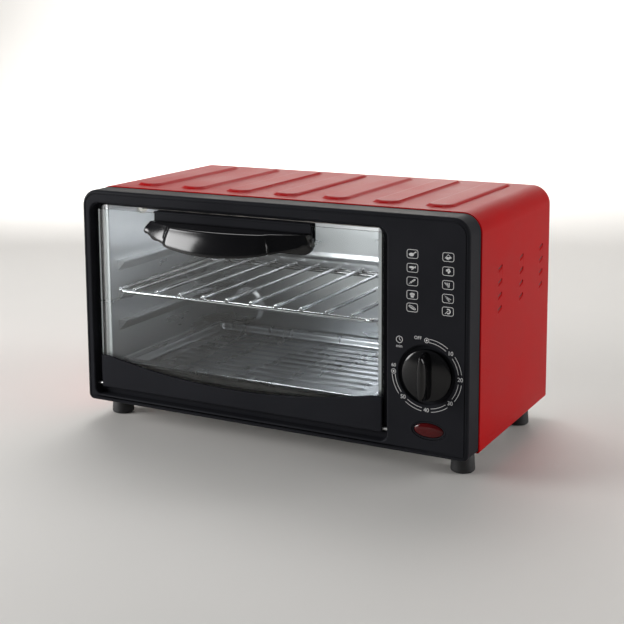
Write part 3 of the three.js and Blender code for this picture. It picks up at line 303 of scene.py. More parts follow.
def piece(name, shape, body, slot, stands_for=(), look=None, sharp=35):
    """A mesh piece riding on a body in a slot's finish, in place of the CAD nodes it stands for."""
    obj = add_mesh(name, shape, weld=1e-7)
    obj.data.materials.append(look or LOOKS[slot])
    smooth(obj, sharp)
    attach(obj, body)
    if stands_for:
        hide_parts(*stands_for)
    return obj


def smooth(obj, sharp):
    """Smooth shading that stays crisp at edges over sharp degrees."""
    obj.data.shade_smooth()
    obj.data.set_sharp_from_angle(angle=math.radians(sharp))


def add_bevel(obj, width, segments):
    bevel = obj.modifiers.new("edges", "BEVEL")
    bevel.width = width * MM
    bevel.segments = segments
    bevel.limit_method = "ANGLE"
    bevel.angle_limit = math.radians(32)
    bevel.harden_normals = True


def keep_flats_flat(obj):
    weighted = obj.modifiers.new("flats", "WEIGHTED_NORMAL")
    weighted.keep_sharp = True


def bake(obj):
    """Applies a piece's modifiers to its mesh."""
    bpy.context.view_layer.update()
    depsgraph = bpy.context.evaluated_depsgraph_get()
    mesh = bpy.data.meshes.new_from_object(obj.evaluated_get(depsgraph))
    obj.modifiers.clear()
    obj.data = mesh
    face_outwards(mesh)


def face_outwards(mesh):
    bm = bmesh.new()
    bm.from_mesh(mesh)
    bmesh.ops.recalc_face_normals(bm, faces=bm.faces)
    if bm.calc_volume(signed=True) < 0:
        bmesh.ops.reverse_faces(bm, faces=bm.faces)
    bm.to_mesh(mesh)
    bm.free()


def cut_away(obj, cutters):
    """Cuts closed shapes, each (points, faces) in millimetres, out of a piece."""
    cutter = add_mesh("cutter", merged(cutters))
    boolean = obj.modifiers.new("cut", "BOOLEAN")
    boolean.operation = "DIFFERENCE"
    boolean.solver = "EXACT"
    boolean.object = cutter
    bake(obj)
    bpy.data.objects.remove(cutter)


def merged(shapes):
    """Several (points, faces) as one."""
    verts, faces = [], []
    for shape_verts, shape_faces in shapes:
        start = len(verts)
        verts += list(shape_verts)
        faces += [tuple(start + i for i in face) for face in shape_faces]
    return verts, faces


def loft(rings, loop=False, caps=True, around=True):
    """A skin over rings with as many points each. around closes each ring, loop joins last to first."""
    count = len(rings[0])
    verts = [p for ring in rings for p in ring]
    faces = []
    for k in range(len(rings) if loop else len(rings) - 1):
        a, b = k * count, (k + 1) % len(rings) * count
        for i in range(count if around else count - 1):
            j = (i + 1) % count
            faces.append((a + i, a + j, b + j, b + i))
    if caps and not loop:
        last = (len(rings) - 1) * count
        faces.append(tuple(reversed(range(count))))
        faces.append(tuple(range(last, last + count)))
    return verts, faces


def arc(cx, cz, radius, start, end, steps):
    """Points along an arc, angles in degrees."""
    angles = [math.radians(start + (end - start) * i / steps) for i in range(steps + 1)]
    return [(cx + radius * math.cos(a), cz + radius * math.sin(a)) for a in angles]


def rounded_rectangle(x0, x1, z0, z1, top, low=None, steps=8):
    """An outline, anticlockwise from its lower right corner."""
    low = top if low is None else low
    return (
        arc(x1 - low, z0 + low, low, -90, 0, steps)
        + arc(x1 - top, z1 - top, top, 0, 90, steps)
        + arc(x0 + top, z1 - top, top, 90, 180, steps)
        + arc(x0 + low, z0 + low, low, 180, 270, steps)
    )


def oval(cx, cz, width, height, steps=48):
    turns = [2 * math.pi * i / steps for i in range(steps)]
    return [(cx + width / 2 * math.cos(a), cz + height / 2 * math.sin(a)) for a in turns]


def facing_front(outline, y):
    return [(x, y, z) for x, z in outline]


def turned(profile, centre, axis="Y", steps=64, loop=False):
    """A lathe form from (radius, place along the axis) pairs. A radius of 0 or a loop closes it."""
    rings = []
    for radius, along in profile:
        ring = []
        for i in range(steps):
            a = 2 * math.pi * i / steps
            u, v = max(radius, 0.0005) * math.cos(a), max(radius, 0.0005) * math.sin(a)
            if axis == "Y":
                ring.append((centre[0] + u, along, centre[1] + v))
            elif axis == "Z":
                ring.append((centre[0] + u, centre[1] + v, along))
            else:
                ring.append((along, centre[0] + u, centre[1] + v))
        rings.append(ring)
    return loft(rings, loop=loop)


def wire(points, radius, closed=False, sides=10):
    """A round wire along points, with domed ends."""
    path = [Vector(p) for p in points]
    count = len(path)
    rings = []
    side = None
    for i, p in enumerate(path):
        before = path[(i - 1) % count] if closed or i else p
        after = path[(i + 1) % count] if closed or i < count - 1 else p
        along = (after - before).normalized()
        if side is None:
            side = along.orthogonal().normalized()
        side = (side - along * side.dot(along)).normalized()
        other = along.cross(side)
        turns = [2 * math.pi * k / sides for k in range(sides)]
        ring = [side * math.cos(a) + other * math.sin(a) for a in turns]
        if not closed and i == 0:
            rings += [[p - along * radius * s + r * radius * c for r in ring] for s, c in DOME]
        rings.append([p + r * radius for r in ring])
        if not closed and i == count - 1:
            rings += [
                [p + along * radius * s + r * radius * c for r in ring] for s, c in reversed(DOME)
            ]
    return loft([[tuple(v) for v in ring] for ring in rings], loop=closed)


DOME = [(math.sin(math.radians(a)), math.cos(math.radians(a))) for a in (80, 55, 28)]


def sheet_grid(columns, rows, point):
    """An open sheet of points, point(column, row), over two lists of parameters."""
    return loft([[point(c, r) for c in columns] for r in rows], caps=False, around=False)


def even_steps(low, high, count):
    return [low + (high - low) * i / count for i in range(count + 1)]


def steps_between(low, high, pitch):
    return even_steps(low, high, max(1, round((high - low) / pitch)))


def smoothstep(value):
    t = min(1, max(0, value))
    return t * t * (3 - 2 * t)


def thicken(obj, thickness):
    """Gives an open sheet its thickness, behind its skin."""
    solid = obj.modifiers.new("sheet", "SOLIDIFY")
    solid.thickness = thickness * MM
    solid.offset = -1
    solid.use_even_offset = True


# ------ front frame
front = edges("front_frame")
glass = edges("door_glass")
casing = edges("outer_casing")
trim = edges("door_trim")
bracket = edges("door_bracket")

FRAME_RIM = 22.4
FRAME_CORNER_TOP = 14
FRAME_CORNER_LOW = 5
FRAME_WALL = 2
TONGUE_INSET = 1.6
RIM_ROUND = 2.2
GROOVE_WIDTH = 0.8
GROOVE_DEPTH = 0.7
OPENING = SimpleNamespace(
    x0=glass.x0 - 5.5, x1=glass.x1 + 5.5, z0=trim.z0 - 6, z1=glass.z1 + 5.7, top=9, low=6
)
OPENING_ROUND = 1.4
FLANGE_DEPTH = 9
FLANGE_WALL = 1.2
LIP_SIDE = 5.2
LIP_TOP = 2.8
LIP_PANEL_SIDE = 8.5
LIP_SHEET = 0.35
rim_back = front.y0 + FRAME_RIM

knob = edges("timer_knob")
shaft = edges("timer_shaft")
bezel = edges("indicator_bezel")
lens = edges("indicator_lens")
KNOB_AXIS = (shaft.x, shaft.z)
DISH_RADIUS = 23.5
DISH_DEPTH = 3
DISH_LIP = 1.2
LENS_GAP = 0.3
LENS_DOME = 1.6


def frame_ring(inset, y):
    """The frame's outline, drawn in by some distance."""
    top = max(FRAME_CORNER_TOP - inset, 0.6)
    low = max(FRAME_CORNER_LOW - inset, 0.6)
    outline = rounded_rectangle(
        front.x0 + inset, front.x1 - inset, front.z0 + inset, front.z1 - inset, top, low
    )
    return facing_front(outline, y)


def opening_ring(grow, y, grow_top=None, grow_right=None):
    """The door opening's outline, grown by some distance."""
    top = grow if grow_top is None else grow_top
    right = grow if grow_right is None else grow_right
    outline = rounded_rectangle(
        OPENING.x0 - grow, OPENING.x1 + right, OPENING.z0 - grow, OPENING.z1 + top,
        OPENING.top + grow, max(OPENING.low + grow, 0.8),
    )
    return facing_front(outline, y)


def quarter(radius, steps=5):
    """(drop, advance) pairs along a rounded edge, from its side to its face."""
    angles = [math.pi / 2 * i / steps for i in range(steps + 1)]
    return [(radius * (1 - math.cos(a)), radius * (1 - math.sin(a))) for a in angles]


def front_frame():
    rings = [frame_ring(TONGUE_INSET, front.y1), frame_ring(TONGUE_INSET, rim_back)]
    rings += [frame_ring(0.3, rim_back), frame_ring(0, rim_back - 0.3)]
    rings += [frame_ring(inset, front.y0 + depth) for inset, depth in quarter(RIM_ROUND)]
    groove = RIM_ROUND + 0.5
    rings += [
        frame_ring(groove, front.y0),
        frame_ring(groove + 0.1, front.y0 + GROOVE_DEPTH),
        frame_ring(groove + GROOVE_WIDTH - 0.1, front.y0 + GROOVE_DEPTH),
        frame_ring(groove + GROOVE_WIDTH, front.y0),
        frame_ring(groove + GROOVE_WIDTH + 1, front.y0),
    ]
    rings.append(opening_ring(OPENING_ROUND + 1, front.y0))
    rings += [opening_ring(drop, front.y0 + depth) for drop, depth in reversed(quarter(OPENING_ROUND))]
    flange_end = front.y0 + FLANGE_DEPTH
    rings += [
        opening_ring(0, flange_end - LIP_SHEET),
        opening_ring(-LIP_SIDE, flange_end - LIP_SHEET, -LIP_TOP, -LIP_PANEL_SIDE),
        opening_ring(-LIP_SIDE, flange_end, -LIP_TOP, -LIP_PANEL_SIDE),
        opening_ring(FLANGE_WALL, flange_end),
        opening_ring(FLANGE_WALL, front.y0 + FRAME_WALL),
        frame_ring(FRAME_WALL + TONGUE_INSET, front.y0 + FRAME_WALL),
        frame_ring(FRAME_WALL + TONGUE_INSET, front.y1),
    ]
    obj = piece("frame_moulding", loft(rings, loop=True), "oven", "black_paint", ["front_frame"])
    through = (front.y0 - 2, front.y0 + FRAME_WALL + 2)
    dish = turned([(0, through[0])] + [(DISH_RADIUS + DISH_LIP, y) for y in through]
                  + [(0, through[1])], KNOB_AXIS, steps=96)
    lamp_hole = loft([
        facing_front(oval(bezel.x, bezel.z, bezel.width + 0.3, bezel.height + 0.3), y)
        for y in through
    ])
    cut_away(obj, [dish, lamp_hole])
    smooth(obj, 35)
    keep_flats_flat(obj)


def dial_dish():
    """The round well that the knob turns in, with a rounded lip."""
    floor = front.y0 + DISH_DEPTH
    outer = DISH_RADIUS + DISH_LIP
    lip = [
        (DISH_RADIUS + DISH_LIP * (1 - math.sin(a)), front.y0 + DISH_LIP * (1 - math.cos(a)))
        for a in (math.radians(15 * i) for i in range(7))
    ]
    shaft_hole = shaft.width / 2 + 0.4
    profile = [(outer, front.y0 + FRAME_WALL)] + lip
    profile += [(DISH_RADIUS, floor - 0.6), (DISH_RADIUS - 0.2, floor - 0.2)]
    profile += [(DISH_RADIUS - 0.8, floor), (shaft_hole, floor), (shaft_hole, floor + 1.6)]
    profile += [(outer, floor + 1.6)]
    piece("dial_dish", turned(profile, KNOB_AXIS, steps=96, loop=True), "oven", "black_paint")


# ------ casing
CASING_CORNER = 16
CASING_CORNER_LOW = 2.5
CASING_HEM = 5
CASING_SHEET = 1
CASING_EDGE_ROUND = 0.6
CASING_REAR_FLANGE = 9
CASING_REAR_ROUND = 2
casing_top = casing.z1 - 1.8
PAD_COUNT = 7
PAD_WIDTH = 24
PAD_PITCH = 46
PAD_CORNER = 9
PAD_RISE = 1.8
PAD_FRONT = casing.y0 + 14
PAD_REAR = casing.y1 - 11
PAD_SLOPE = 2.2
GRID_PITCH = 1.5


def pad_height(x, y):
    """How far the top sheet is pressed up at a point."""
    nearest = min(PAD_COUNT // 2, max(-(PAD_COUNT // 2), round(x / PAD_PITCH)))
    across = abs(x - nearest * PAD_PITCH) - (PAD_WIDTH / 2 - PAD_CORNER)
    along = abs(y - (PAD_FRONT + PAD_REAR) / 2) - ((PAD_REAR - PAD_FRONT) / 2 - PAD_CORNER)
    outside = math.hypot(max(across, 0), max(along, 0)) + min(max(across, along), 0)
    return PAD_RISE * smoothstep((PAD_CORNER - outside) / PAD_SLOPE)


def casing_section(inset):
    """The casing's cross-section from the left hem round the top to the right hem."""
    left, right = casing.x0 + inset, casing.x1 - inset
    low, top = casing.z0 + inset, casing_top - inset
    corner = max(CASING_CORNER - inset, 0.4)
    corner_low = max(CASING_CORNER_LOW - inset, 0.4)
    hem = max(CASING_HEM, inset + 1 + corner_low)
    flat_x = casing.x1 - CASING_CORNER
    points = [(casing.x0 + hem, low)]
    points += arc(left + corner_low, low + corner_low, corner_low, -90, -180, 5)
    side = even_steps(low + corner_low, top - corner, 20)
    points += [(left, z) for z in side[1:-1]]
    points += arc(left + corner, top - corner, corner, 180, 90, 14)
    flat = steps_between(-flat_x, flat_x, GRID_PITCH)
    points += [(x, top) for x in flat[1:-1]]
    points += arc(right - corner, top - corner, corner, 90, 0, 14)
    points += [(right, z) for z in reversed(side[1:-1])]
    points += arc(right - corner_low, low + corner_low, corner_low, 0, -90, 5)
    points.append((casing.x1 - hem, low))
    return points


LOUVRE_ROWS = 4
LOUVRE_COLUMNS = 3
LOUVRE_Y = front.y0 + 64.4
LOUVRE_Z = front.z1 - 48.4
LOUVRE_PITCH_Y = 51
LOUVRE_PITCH_Z = 11
LOUVRE_LENGTH = 9.5
LOUVRE_WIDTH = 2.0
LOUVRE_SLANT = 14
LOUVRE_DENT_WIDTH = 2.3
LOUVRE_DENT_DROP = 1.4


def louvre_slot(centre, width, depth):
    """A slanted slot with round ends in the casing's side, from (x step, size) pairs."""
    straight = (LOUVRE_LENGTH - width) / 2
    outline = arc(straight, 0, width / 2, -90, 90, 10) + arc(-straight, 0, width / 2, 90, 270, 10)
    turn = Matrix.Rotation(math.radians(LOUVRE_SLANT), 2)
    places = [turn @ Vector(p) for p in outline]
    return loft([
        [(centre[0] + dx, centre[1] + s * p.x, centre[2] + s * p.y) for p in places]
        for dx, s in depth
    ])


def louvre_places():
    return [
        (side, LOUVRE_Y + column * LOUVRE_PITCH_Y, LOUVRE_Z - row * LOUVRE_PITCH_Z)
        for side in (casing.x0, casing.x1)
        for column in range(LOUVRE_COLUMNS) for row in range(LOUVRE_ROWS)
    ]


def louvre_cutters():
    """Slanted slots through the casing's sides, and the shallow dents that they are lanced in."""
    slots, dents = [], []
    for side, y, z in louvre_places():
        out = math.copysign(1, side)
        through = [(1 * out, 1), (-3 * out, 1)]
        dish = [(0.4 * out, 1.25), (-0.2 * out, 1), (-0.55 * out, 0.6)]
        slots.append(louvre_slot((side, y, z), LOUVRE_WIDTH, through))
        dents.append(louvre_slot((side, y, z - LOUVRE_DENT_DROP), LOUVRE_DENT_WIDTH, dish))
    return slots, dents


def louvre_painted_shadows():
    """Painted shadow: a black plug inside each louvre slot, standing for the shade inside the open slot."""
    shades = []
    for side, y, z in louvre_places():
        out = math.copysign(1, side)
        depth = [(-0.7 * out, 1), (-0.95 * out, 1)]
        shades.append(louvre_slot((side, y, z), LOUVRE_WIDTH, depth))
    obj = piece("louvre_painted_shadows", merged(shades), "oven", "black_plastic")
    face_outwards(obj.data)


def outer_casing():
    rows = [(CASING_EDGE_ROUND, casing.y0)]
    rows += [(i * CASING_EDGE_ROUND, casing.y0 + (1 - i) * CASING_EDGE_ROUND) for i in (0.3, 0)]
    flat = steps_between(casing.y0 + CASING_EDGE_ROUND, casing.y1 - CASING_REAR_ROUND, GRID_PITCH)
    rows += [(0, y) for y in flat[1:]]
    rows += [(drop, casing.y1 - advance) for drop, advance in quarter(CASING_REAR_ROUND)[1:]]
    rows.append((CASING_REAR_FLANGE, casing.y1))
    rings = []
    for inset, y in rows:
        ring = []
        for x, z in casing_section(inset):
            on_top = abs(z - casing_top) < 0.01 and abs(x) < casing.x1 - CASING_CORNER
            ring.append((x, y, z + (pad_height(x, y) if on_top else 0)))
        rings.append(ring)
    obj = piece("casing_wrap", loft(rings, caps=False, around=False), "oven", "red_paint", ["outer_casing"])
    thicken(obj, CASING_SHEET)
    bake(obj)
    for cutters in louvre_cutters():
        cut_away(obj, cutters)
    smooth(obj, 40)


# ------ door
def door_glass():
    corner = 1.2
    rings = []
    for y, inset in ((glass.y1, 0.5), (glass.y1 - 0.5, 0), (glass.y0 + 0.5, 0), (glass.y0, 0.5)):
        outline = rounded_rectangle(
            glass.x0 + inset, glass.x1 - inset, glass.z0 + inset, glass.z1 - inset, corner, steps=4
        )
        rings.append(facing_front(outline, y))
    piece("glass_pane", loft(rings), "door", "clear_glass", ["door_glass"], sharp=30)


TRIM_SAG = 13.5
TRIM_FLAT_END = 9


def trim_top(x):
    """Height of the trim's curved upper edge."""
    run = (x - trim.x0 - TRIM_FLAT_END) / (trim.width - 2 * TRIM_FLAT_END)
    run = min(1, max(0, run))
    return trim.z1 - TRIM_SAG * 4 * run * (1 - run)


def door_trim():
    """The pressed strip along the door's foot, folded under and rolled over its curved edge."""
    columns = [trim.x0 + inset for inset in (0, 0.3, 1)]
    columns += steps_between(trim.x0 + TRIM_FLAT_END, trim.x1 - TRIM_FLAT_END, 4)
    columns += [trim.x1 - inset for inset in (1, 0.3, 0)]
    fold = 1.4
    roll = 1.0
    rings = []
    for x in columns:
        end = min(x - trim.x0, trim.x1 - x)
        drop = 0.5 * (1 - smoothstep(end / 1))
        top = trim_top(x)
        front_y = trim.y0 + drop
        profile = [(trim.y1, trim.z0), (front_y + fold, trim.z0)]
        profile += [(front_y + b, trim.z0 + a) for a, b in quarter(fold, 5)][1:]
        profile += [(front_y, top - roll - 3), (front_y, top - roll)]
        profile += [(front_y + a, top - b) for a, b in quarter(roll, 5)][1:]
        back = glass.y0 - 0.1
        profile += [(back, top), (back, top - 0.8), (front_y + 1, top - 1.2)]
        profile += [(front_y + 1, trim.z0 + 2), (front_y + 2, trim.z0 + 1), (trim.y1, trim.z0 + 1)]
        rings.append([(x, y, z) for y, z in profile])
    obj = piece("trim_strip", loft(rings), "door", "black_paint", ["door_trim"], sharp=40)
    keep_flats_flat(obj)


def door_bracket():
    """The clip over the glass's top edge that the handle bolts to."""
    leg = 1.4
    nose = 0.9
    profile = [(bracket.y0, bracket.z0 + nose)]
    profile += [(bracket.y0 + a, bracket.z0 + b) for b, a in quarter(nose, 4)][1:]
    profile += [(glass.y0 - 0.1, bracket.z0), (glass.y0 - 0.1, glass.z1 + 0.2)]
    profile += [(glass.y1 + 0.1, glass.z1 + 0.2), (glass.y1 + 0.1, bracket.z0 + 2)]
    profile += [(bracket.y1, bracket.z0 + 2), (bracket.y1, bracket.z1 - leg)]
    profile += [(bracket.y1 - a, bracket.z1 - b) for a, b in quarter(leg, 5)][1:]
    profile += [(bracket.y0 + b, bracket.z1 - a) for a, b in reversed(quarter(leg, 5))]
    rings = []
    for x, inset in ((bracket.x0, 0.5), (bracket.x0 + 0.5, 0), (bracket.x1 - 0.5, 0), (bracket.x1, 0.5)):
        middle_y, middle_z = bracket.y, bracket.z
        rings.append([
            (x, y + math.copysign(inset, middle_y - y), z + math.copysign(inset, middle_z - z))
            for y, z in profile
        ])
    obj = piece("handle_bracket", loft(rings), "door", "black_paint", ["door_bracket"])
    keep_flats_flat(obj)


# ------ handle
handle = edges("door_handle")
HANDLE_RADIUS = 153
GRIP_PROUD = 4.5
GRIP_HALF = 50
GRIP_SHOULDER = 8
HANDLE_SKIN = 3.4
HANDLE_TIP_DEPTH = 9
HANDLE_MIDDLE_DEPTH = 20
HANDLE_END_DEPTH = 11
HANDLE_CORNER = 5
HANDLE_TOP_ROUND = 2.2
HANDLE_LEAN = 4.6
HANDLE_LOW_ROUND = 1.4
handle_half = handle.width / 2
handle_centre_y = handle.y0 + GRIP_PROUD + HANDLE_RADIUS


def wing_y(x, radius=HANDLE_RADIUS):
    return handle_centre_y - math.sqrt(radius ** 2 - x ** 2)


def handle_front(x):
    """The handle's front at a distance from its middle: two wings and a grip that stands proud."""
    over = min(1, max(0, (abs(x) - GRIP_HALF + GRIP_SHOULDER) / GRIP_SHOULDER))
    return wing_y(x) - GRIP_PROUD * math.sqrt(1 - over ** 2)


def handle_path():
    """Plan of the outer skin, left end to right end, as (x, y, depth of the skin below the top)."""
    tip_x = handle_half
    corner_x = tip_x - HANDLE_CORNER
    corner_y = handle_front(corner_x) + HANDLE_CORNER
    half = []
    for i in range(5):
        y = handle.y1 + (corner_y - handle.y1) * i / 4
        reach = (handle.y1 - y) / (handle.y1 - corner_y)
        depth = HANDLE_END_DEPTH + (HANDLE_TIP_DEPTH + 2 - HANDLE_END_DEPTH) * reach ** 2
        half.append((-tip_x, y, depth))
    for x, y in arc(-corner_x, corner_y, HANDLE_CORNER, 180, 270, 6)[1:]:
        half.append((x, y, HANDLE_TIP_DEPTH + 1.2 * (corner_y - y < HANDLE_CORNER / 2)))
    wings = steps_between(-corner_x, -GRIP_HALF, 2.5)[1:]
    shoulder = [-GRIP_HALF + GRIP_SHOULDER * (1 - math.cos(math.radians(9 * i)))
                for i in range(1, 11)]
    grip = steps_between(-GRIP_HALF + GRIP_SHOULDER, 0, 2.5)[1:]
    for x in wings + shoulder + grip:
        bow = 1 - (x / handle_half) ** 2
        depth = HANDLE_TIP_DEPTH + (HANDLE_MIDDLE_DEPTH - HANDLE_TIP_DEPTH) * bow
        half.append((x, handle_front(x), depth))
    mirrored = [(-x, y, depth) for x, y, depth in reversed(half[:-1])]
    return half + mirrored


def drawn_in(path, distance):
    """A plan path moved inwards along its own normals."""
    places = [Vector((x, y)) for x, y, _ in path]
    moved = []
    for i, p in enumerate(places):
        along = (places[min(i + 1, len(places) - 1)] - places[max(i - 1, 0)]).normalized()
        moved.append(p + Vector((-along.y, along.x)) * distance)
    moved[0].y = moved[-1].y = path[0][1]
    return moved


def door_handle():
    path = handle_path()
    rings = []
    for drop, advance in reversed(quarter(HANDLE_TOP_ROUND, 5)):
        inset = drawn_in(path, drop + HANDLE_LEAN)
        rings.append([(p.x, p.y, handle.z1 - advance * 0.6) for p in inset])
    for share in even_steps(0.08, 1, 9):
        ring = []
        inset = drawn_in(path, HANDLE_LEAN * max(0, 1 - share) ** 1.6)
        for p, (_, _, depth) in zip(inset, path):
            low = handle.z1 - depth + HANDLE_LOW_ROUND
            top = handle.z1 - HANDLE_TOP_ROUND * 0.6
            ring.append((p.x, p.y, top + (low - top) * share))
        rings.append(ring)
    for a, b in quarter(HANDLE_LOW_ROUND, 5)[1:]:
        inset = drawn_in(path, a)
        rings.append([
            (p.x, p.y, handle.z1 - depth + b) for p, (_, _, depth) in zip(inset, path)
        ])
    inner_half = handle_half - HANDLE_SKIN
    inner = []
    for x, y, depth in path:
        ix = x * inner_half / handle_half
        iy = max(y + HANDLE_SKIN * 0.6, wing_y(ix, HANDLE_RADIUS - HANDLE_SKIN))
        inner.append((ix, min(iy, handle.y1), depth))
    rings.append([(x, y, handle.z1 - depth + 0.1) for x, y, depth in inner])
    rings.append([(x, y, handle.z1 - HANDLE_SKIN) for x, y, depth in inner])
    rings = [[(handle.x + x, y, z) for x, y, z in ring] for ring in rings]
    verts, faces = loft(rings, caps=False, around=False)
    count = len(path)
    faces.append(tuple(range(count)))
    last = (len(rings) - 1) * count
    faces.append(tuple(reversed(range(last, last + count))))
    back = [k * count for k in range(len(rings))]
    faces.append(tuple(back + [k + count - 1 for k in reversed(back)]))
    obj = piece("handle_shell", (verts, faces), "door", "gloss_black", ["door_handle"], sharp=50)
    obj.data.validate()
    keep_flats_flat(obj)


def handle_feet():
    """Rounded pads behind the wings that carry the handle on its bracket."""
    thickness, inner, corner, depth = 4, 47, 9, 17.5
    for side, name in ((-1, "left"), (1, "right")):
        low, top = handle.z1 - depth, handle.z1 - HANDLE_SKIN - 0.1
        outer = handle_half - 0.6
        outline = [(inner, top), (inner, low)]
        outline += arc(outer - corner, low + corner, corner, -90, 0, 8) + [(outer, top)]
        rings = []
        for y, inset in ((handle.y1, 0), (handle.y1 - thickness + 0.8, 0),
                         (handle.y1 - thickness, 0.8)):
            middle_x, middle_z = (inner + outer) / 2, (low + top) / 2
            rings.append([
                (handle.x + side * (u - math.copysign(inset, u - middle_x)), y,
                 v - math.copysign(inset, v - middle_z))
                for u, v in outline
            ])
        piece(f"handle_foot_{name}", loft(rings), "door", "gloss_black", sharp=40)


def handle_bosses():
    """Screw posts inside the handle."""
    for side in ("left", "right"):
        screw = edges(f"handle_screw_{side}")
        profile = [(1.9, handle.y1), (3.6, handle.y1), (3.6, handle.y1 - 11.4)]
        profile += [(3.0, handle.y1 - 12), (0, handle.y1 - 12)]
        piece(f"handle_boss_{side}", turned(profile, (screw.x, screw.z), steps=32), "door", "gloss_black")


# ------ knob and lamp
def timer_knob():
    """A glossy disc with a slight crown and a raised grip bar."""
    axis = KNOB_AXIS
    radius = knob.width / 2
    rim = knob.y1 - 3.4
    crown = rim - 2.5
    profile = [(shaft.width / 2 + 0.3, knob.y1), (radius - 0.6, knob.y1)]
    profile += [(radius, knob.y1 - 0.5), (radius, rim + 0.9)]
    profile += [(radius - 0.25, rim + 0.3), (radius - 0.9, rim - 0.05)]
    for i in range(1, 13):
        r = (radius - 0.9) * (1 - i / 12)
        profile.append((r, crown + (rim - 0.05 - crown) * (r / (radius - 0.9)) ** 2))
    piece("knob_disc", turned(profile, axis, steps=96), "knob", "gloss_black", ["timer_knob"], sharp=50)

    half = 19.0
    reach = knob.y0 - crown
    rings = []
    for share in (0, 0.12, 0.35, 0.6, 0.8, 0.92, 0.98, 1):
        squeeze = math.sqrt(max(0.0, 1 - share ** 6))
        width = (11.5 - 4.2 * share) * (0.25 + 0.75 * squeeze)
        length = half * (1 - 0.10 * share) * (0.93 + 0.07 * squeeze)
        ring = []
        for i in range(48):
            a = 2 * math.pi * i / 48
            c, s = math.cos(a), math.sin(a)
            u = math.copysign(abs(c) ** 0.75, c)
            v = math.copysign(abs(s) ** 0.75, s)
            taper = 1 - 0.18 * max(0, v) ** 2
            ring.append((axis[0] + u * width / 2 * taper, crown + 1.4 + (reach - 1.4) * share,
                         axis[1] + v * length))
        rings.append(ring)
    piece("knob_grip", loft(rings), "knob", "gloss_black", sharp=60)


def indicator():
    """An oval bezel and its domed red lens."""
    def ring(place, grow, y, size=1):
        outline = oval(place.x, place.z, (place.width + grow) * size, (place.height + grow) * size)
        return facing_front(outline, y)

    rings = [
        ring(bezel, grow, y)
        for grow, y in ((0, bezel.y1), (0, bezel.y0 + 0.5), (-0.5, bezel.y0), (-1.6, bezel.y0))
    ]
    rings += [
        ring(lens, LENS_GAP + grow, y)
        for grow, y in ((0.5, bezel.y0 + 0.2), (0, bezel.y0 + 0.8), (0, bezel.y1))
    ]
    piece("lamp_bezel", loft(rings, loop=True), "oven", "black_paint", ["indicator_bezel"], sharp=50)
    rings = [ring(lens, 0, lens.y1), ring(lens, 0, lens.y0 + LENS_DOME)]
    for i in range(1, 10):
        a = math.pi / 2 * i / 9
        size = max(math.cos(a) ** 0.8, 0.004)
        rings.append(ring(lens, 0, lens.y0 + LENS_DOME * (1 - math.sin(a)), size))
    piece("lamp_lens", loft(rings), "oven", "red_lens", ["indicator_lens"], sharp=60)


# ------ panel prints
PRINT_LIFT = 0.06
print_y = front.y0 - PRINT_LIFT
prints = []


def stroke(points, width, closed=False):
    """A flat printed line along (x, z) points."""
    count = len(points)
    rings = []
    for i, p in enumerate(points):
        here = Vector(p)
        before = Vector(points[(i - 1) % count]) if closed or i else here
        after = Vector(points[(i + 1) % count]) if closed or i < count - 1 else here
        along = (after - before).normalized()
        across = Vector((-along.y, along.x)) * width / 2
        a, b = here + across, here - across
        rings.append([
            (a.x, front.y0 - 0.01, a.y), (a.x, print_y, a.y),
            (b.x, print_y, b.y), (b.x, front.y0 - 0.01, b.y),
        ])
    prints.append(loft(rings, loop=closed))


def blot(points):
    """A flat printed patch."""
    prints.append(loft([facing_front(points, front.y0 - 0.01), facing_front(points, print_y)]))


def word(text, x, z, size):
    """Printed lettering, centred on a point."""
    curve = bpy.data.curves.new(text, "FONT")
    curve.body = text
    curve.size = size
    curve.align_x = "CENTER"
    curve.align_y = "CENTER"
    obj = bpy.data.objects.new(text, curve)
    scene.collection.objects.link(obj)
    bpy.context.view_layer.update()
    mesh = bpy.data.meshes.new_from_object(obj.evaluated_get(bpy.context.evaluated_depsgraph_get()))
    bpy.data.objects.remove(obj)
    bm = bmesh.new()
    bm.from_mesh(mesh)
    bmesh.ops.dissolve_limit(bm, angle_limit=0.01, verts=bm.verts, edges=bm.edges)
    flat = list(bm.faces)
    raised = bmesh.ops.extrude_face_region(bm, geom=flat)
    for v in (g for g in raised["geom"] if isinstance(g, bmesh.types.BMVert)):
        v.co.z += PRINT_LIFT - 0.01
    bm.verts.index_update()
    verts = [(x + v.co.x, front.y0 - 0.01 - v.co.z, z + v.co.y) for v in bm.verts]
    prints.append((verts, [tuple(v.index for v in f.verts) for f in bm.faces]))
    bm.free()


ICON_WIDTH = 9
ICON_HEIGHT = 6.6
ICON_COLUMNS = (133.4, 162.6)
ICON_ROWS = (176.3, 165.5, 155.0, 144.5, 134.6)


def icon_frame(x, z):
    outline = rounded_rectangle(
        x - ICON_WIDTH / 2, x + ICON_WIDTH / 2, z - ICON_HEIGHT / 2, z + ICON_HEIGHT / 2, 1.6, steps=5
    )
    stroke(outline, 0.42, closed=True)


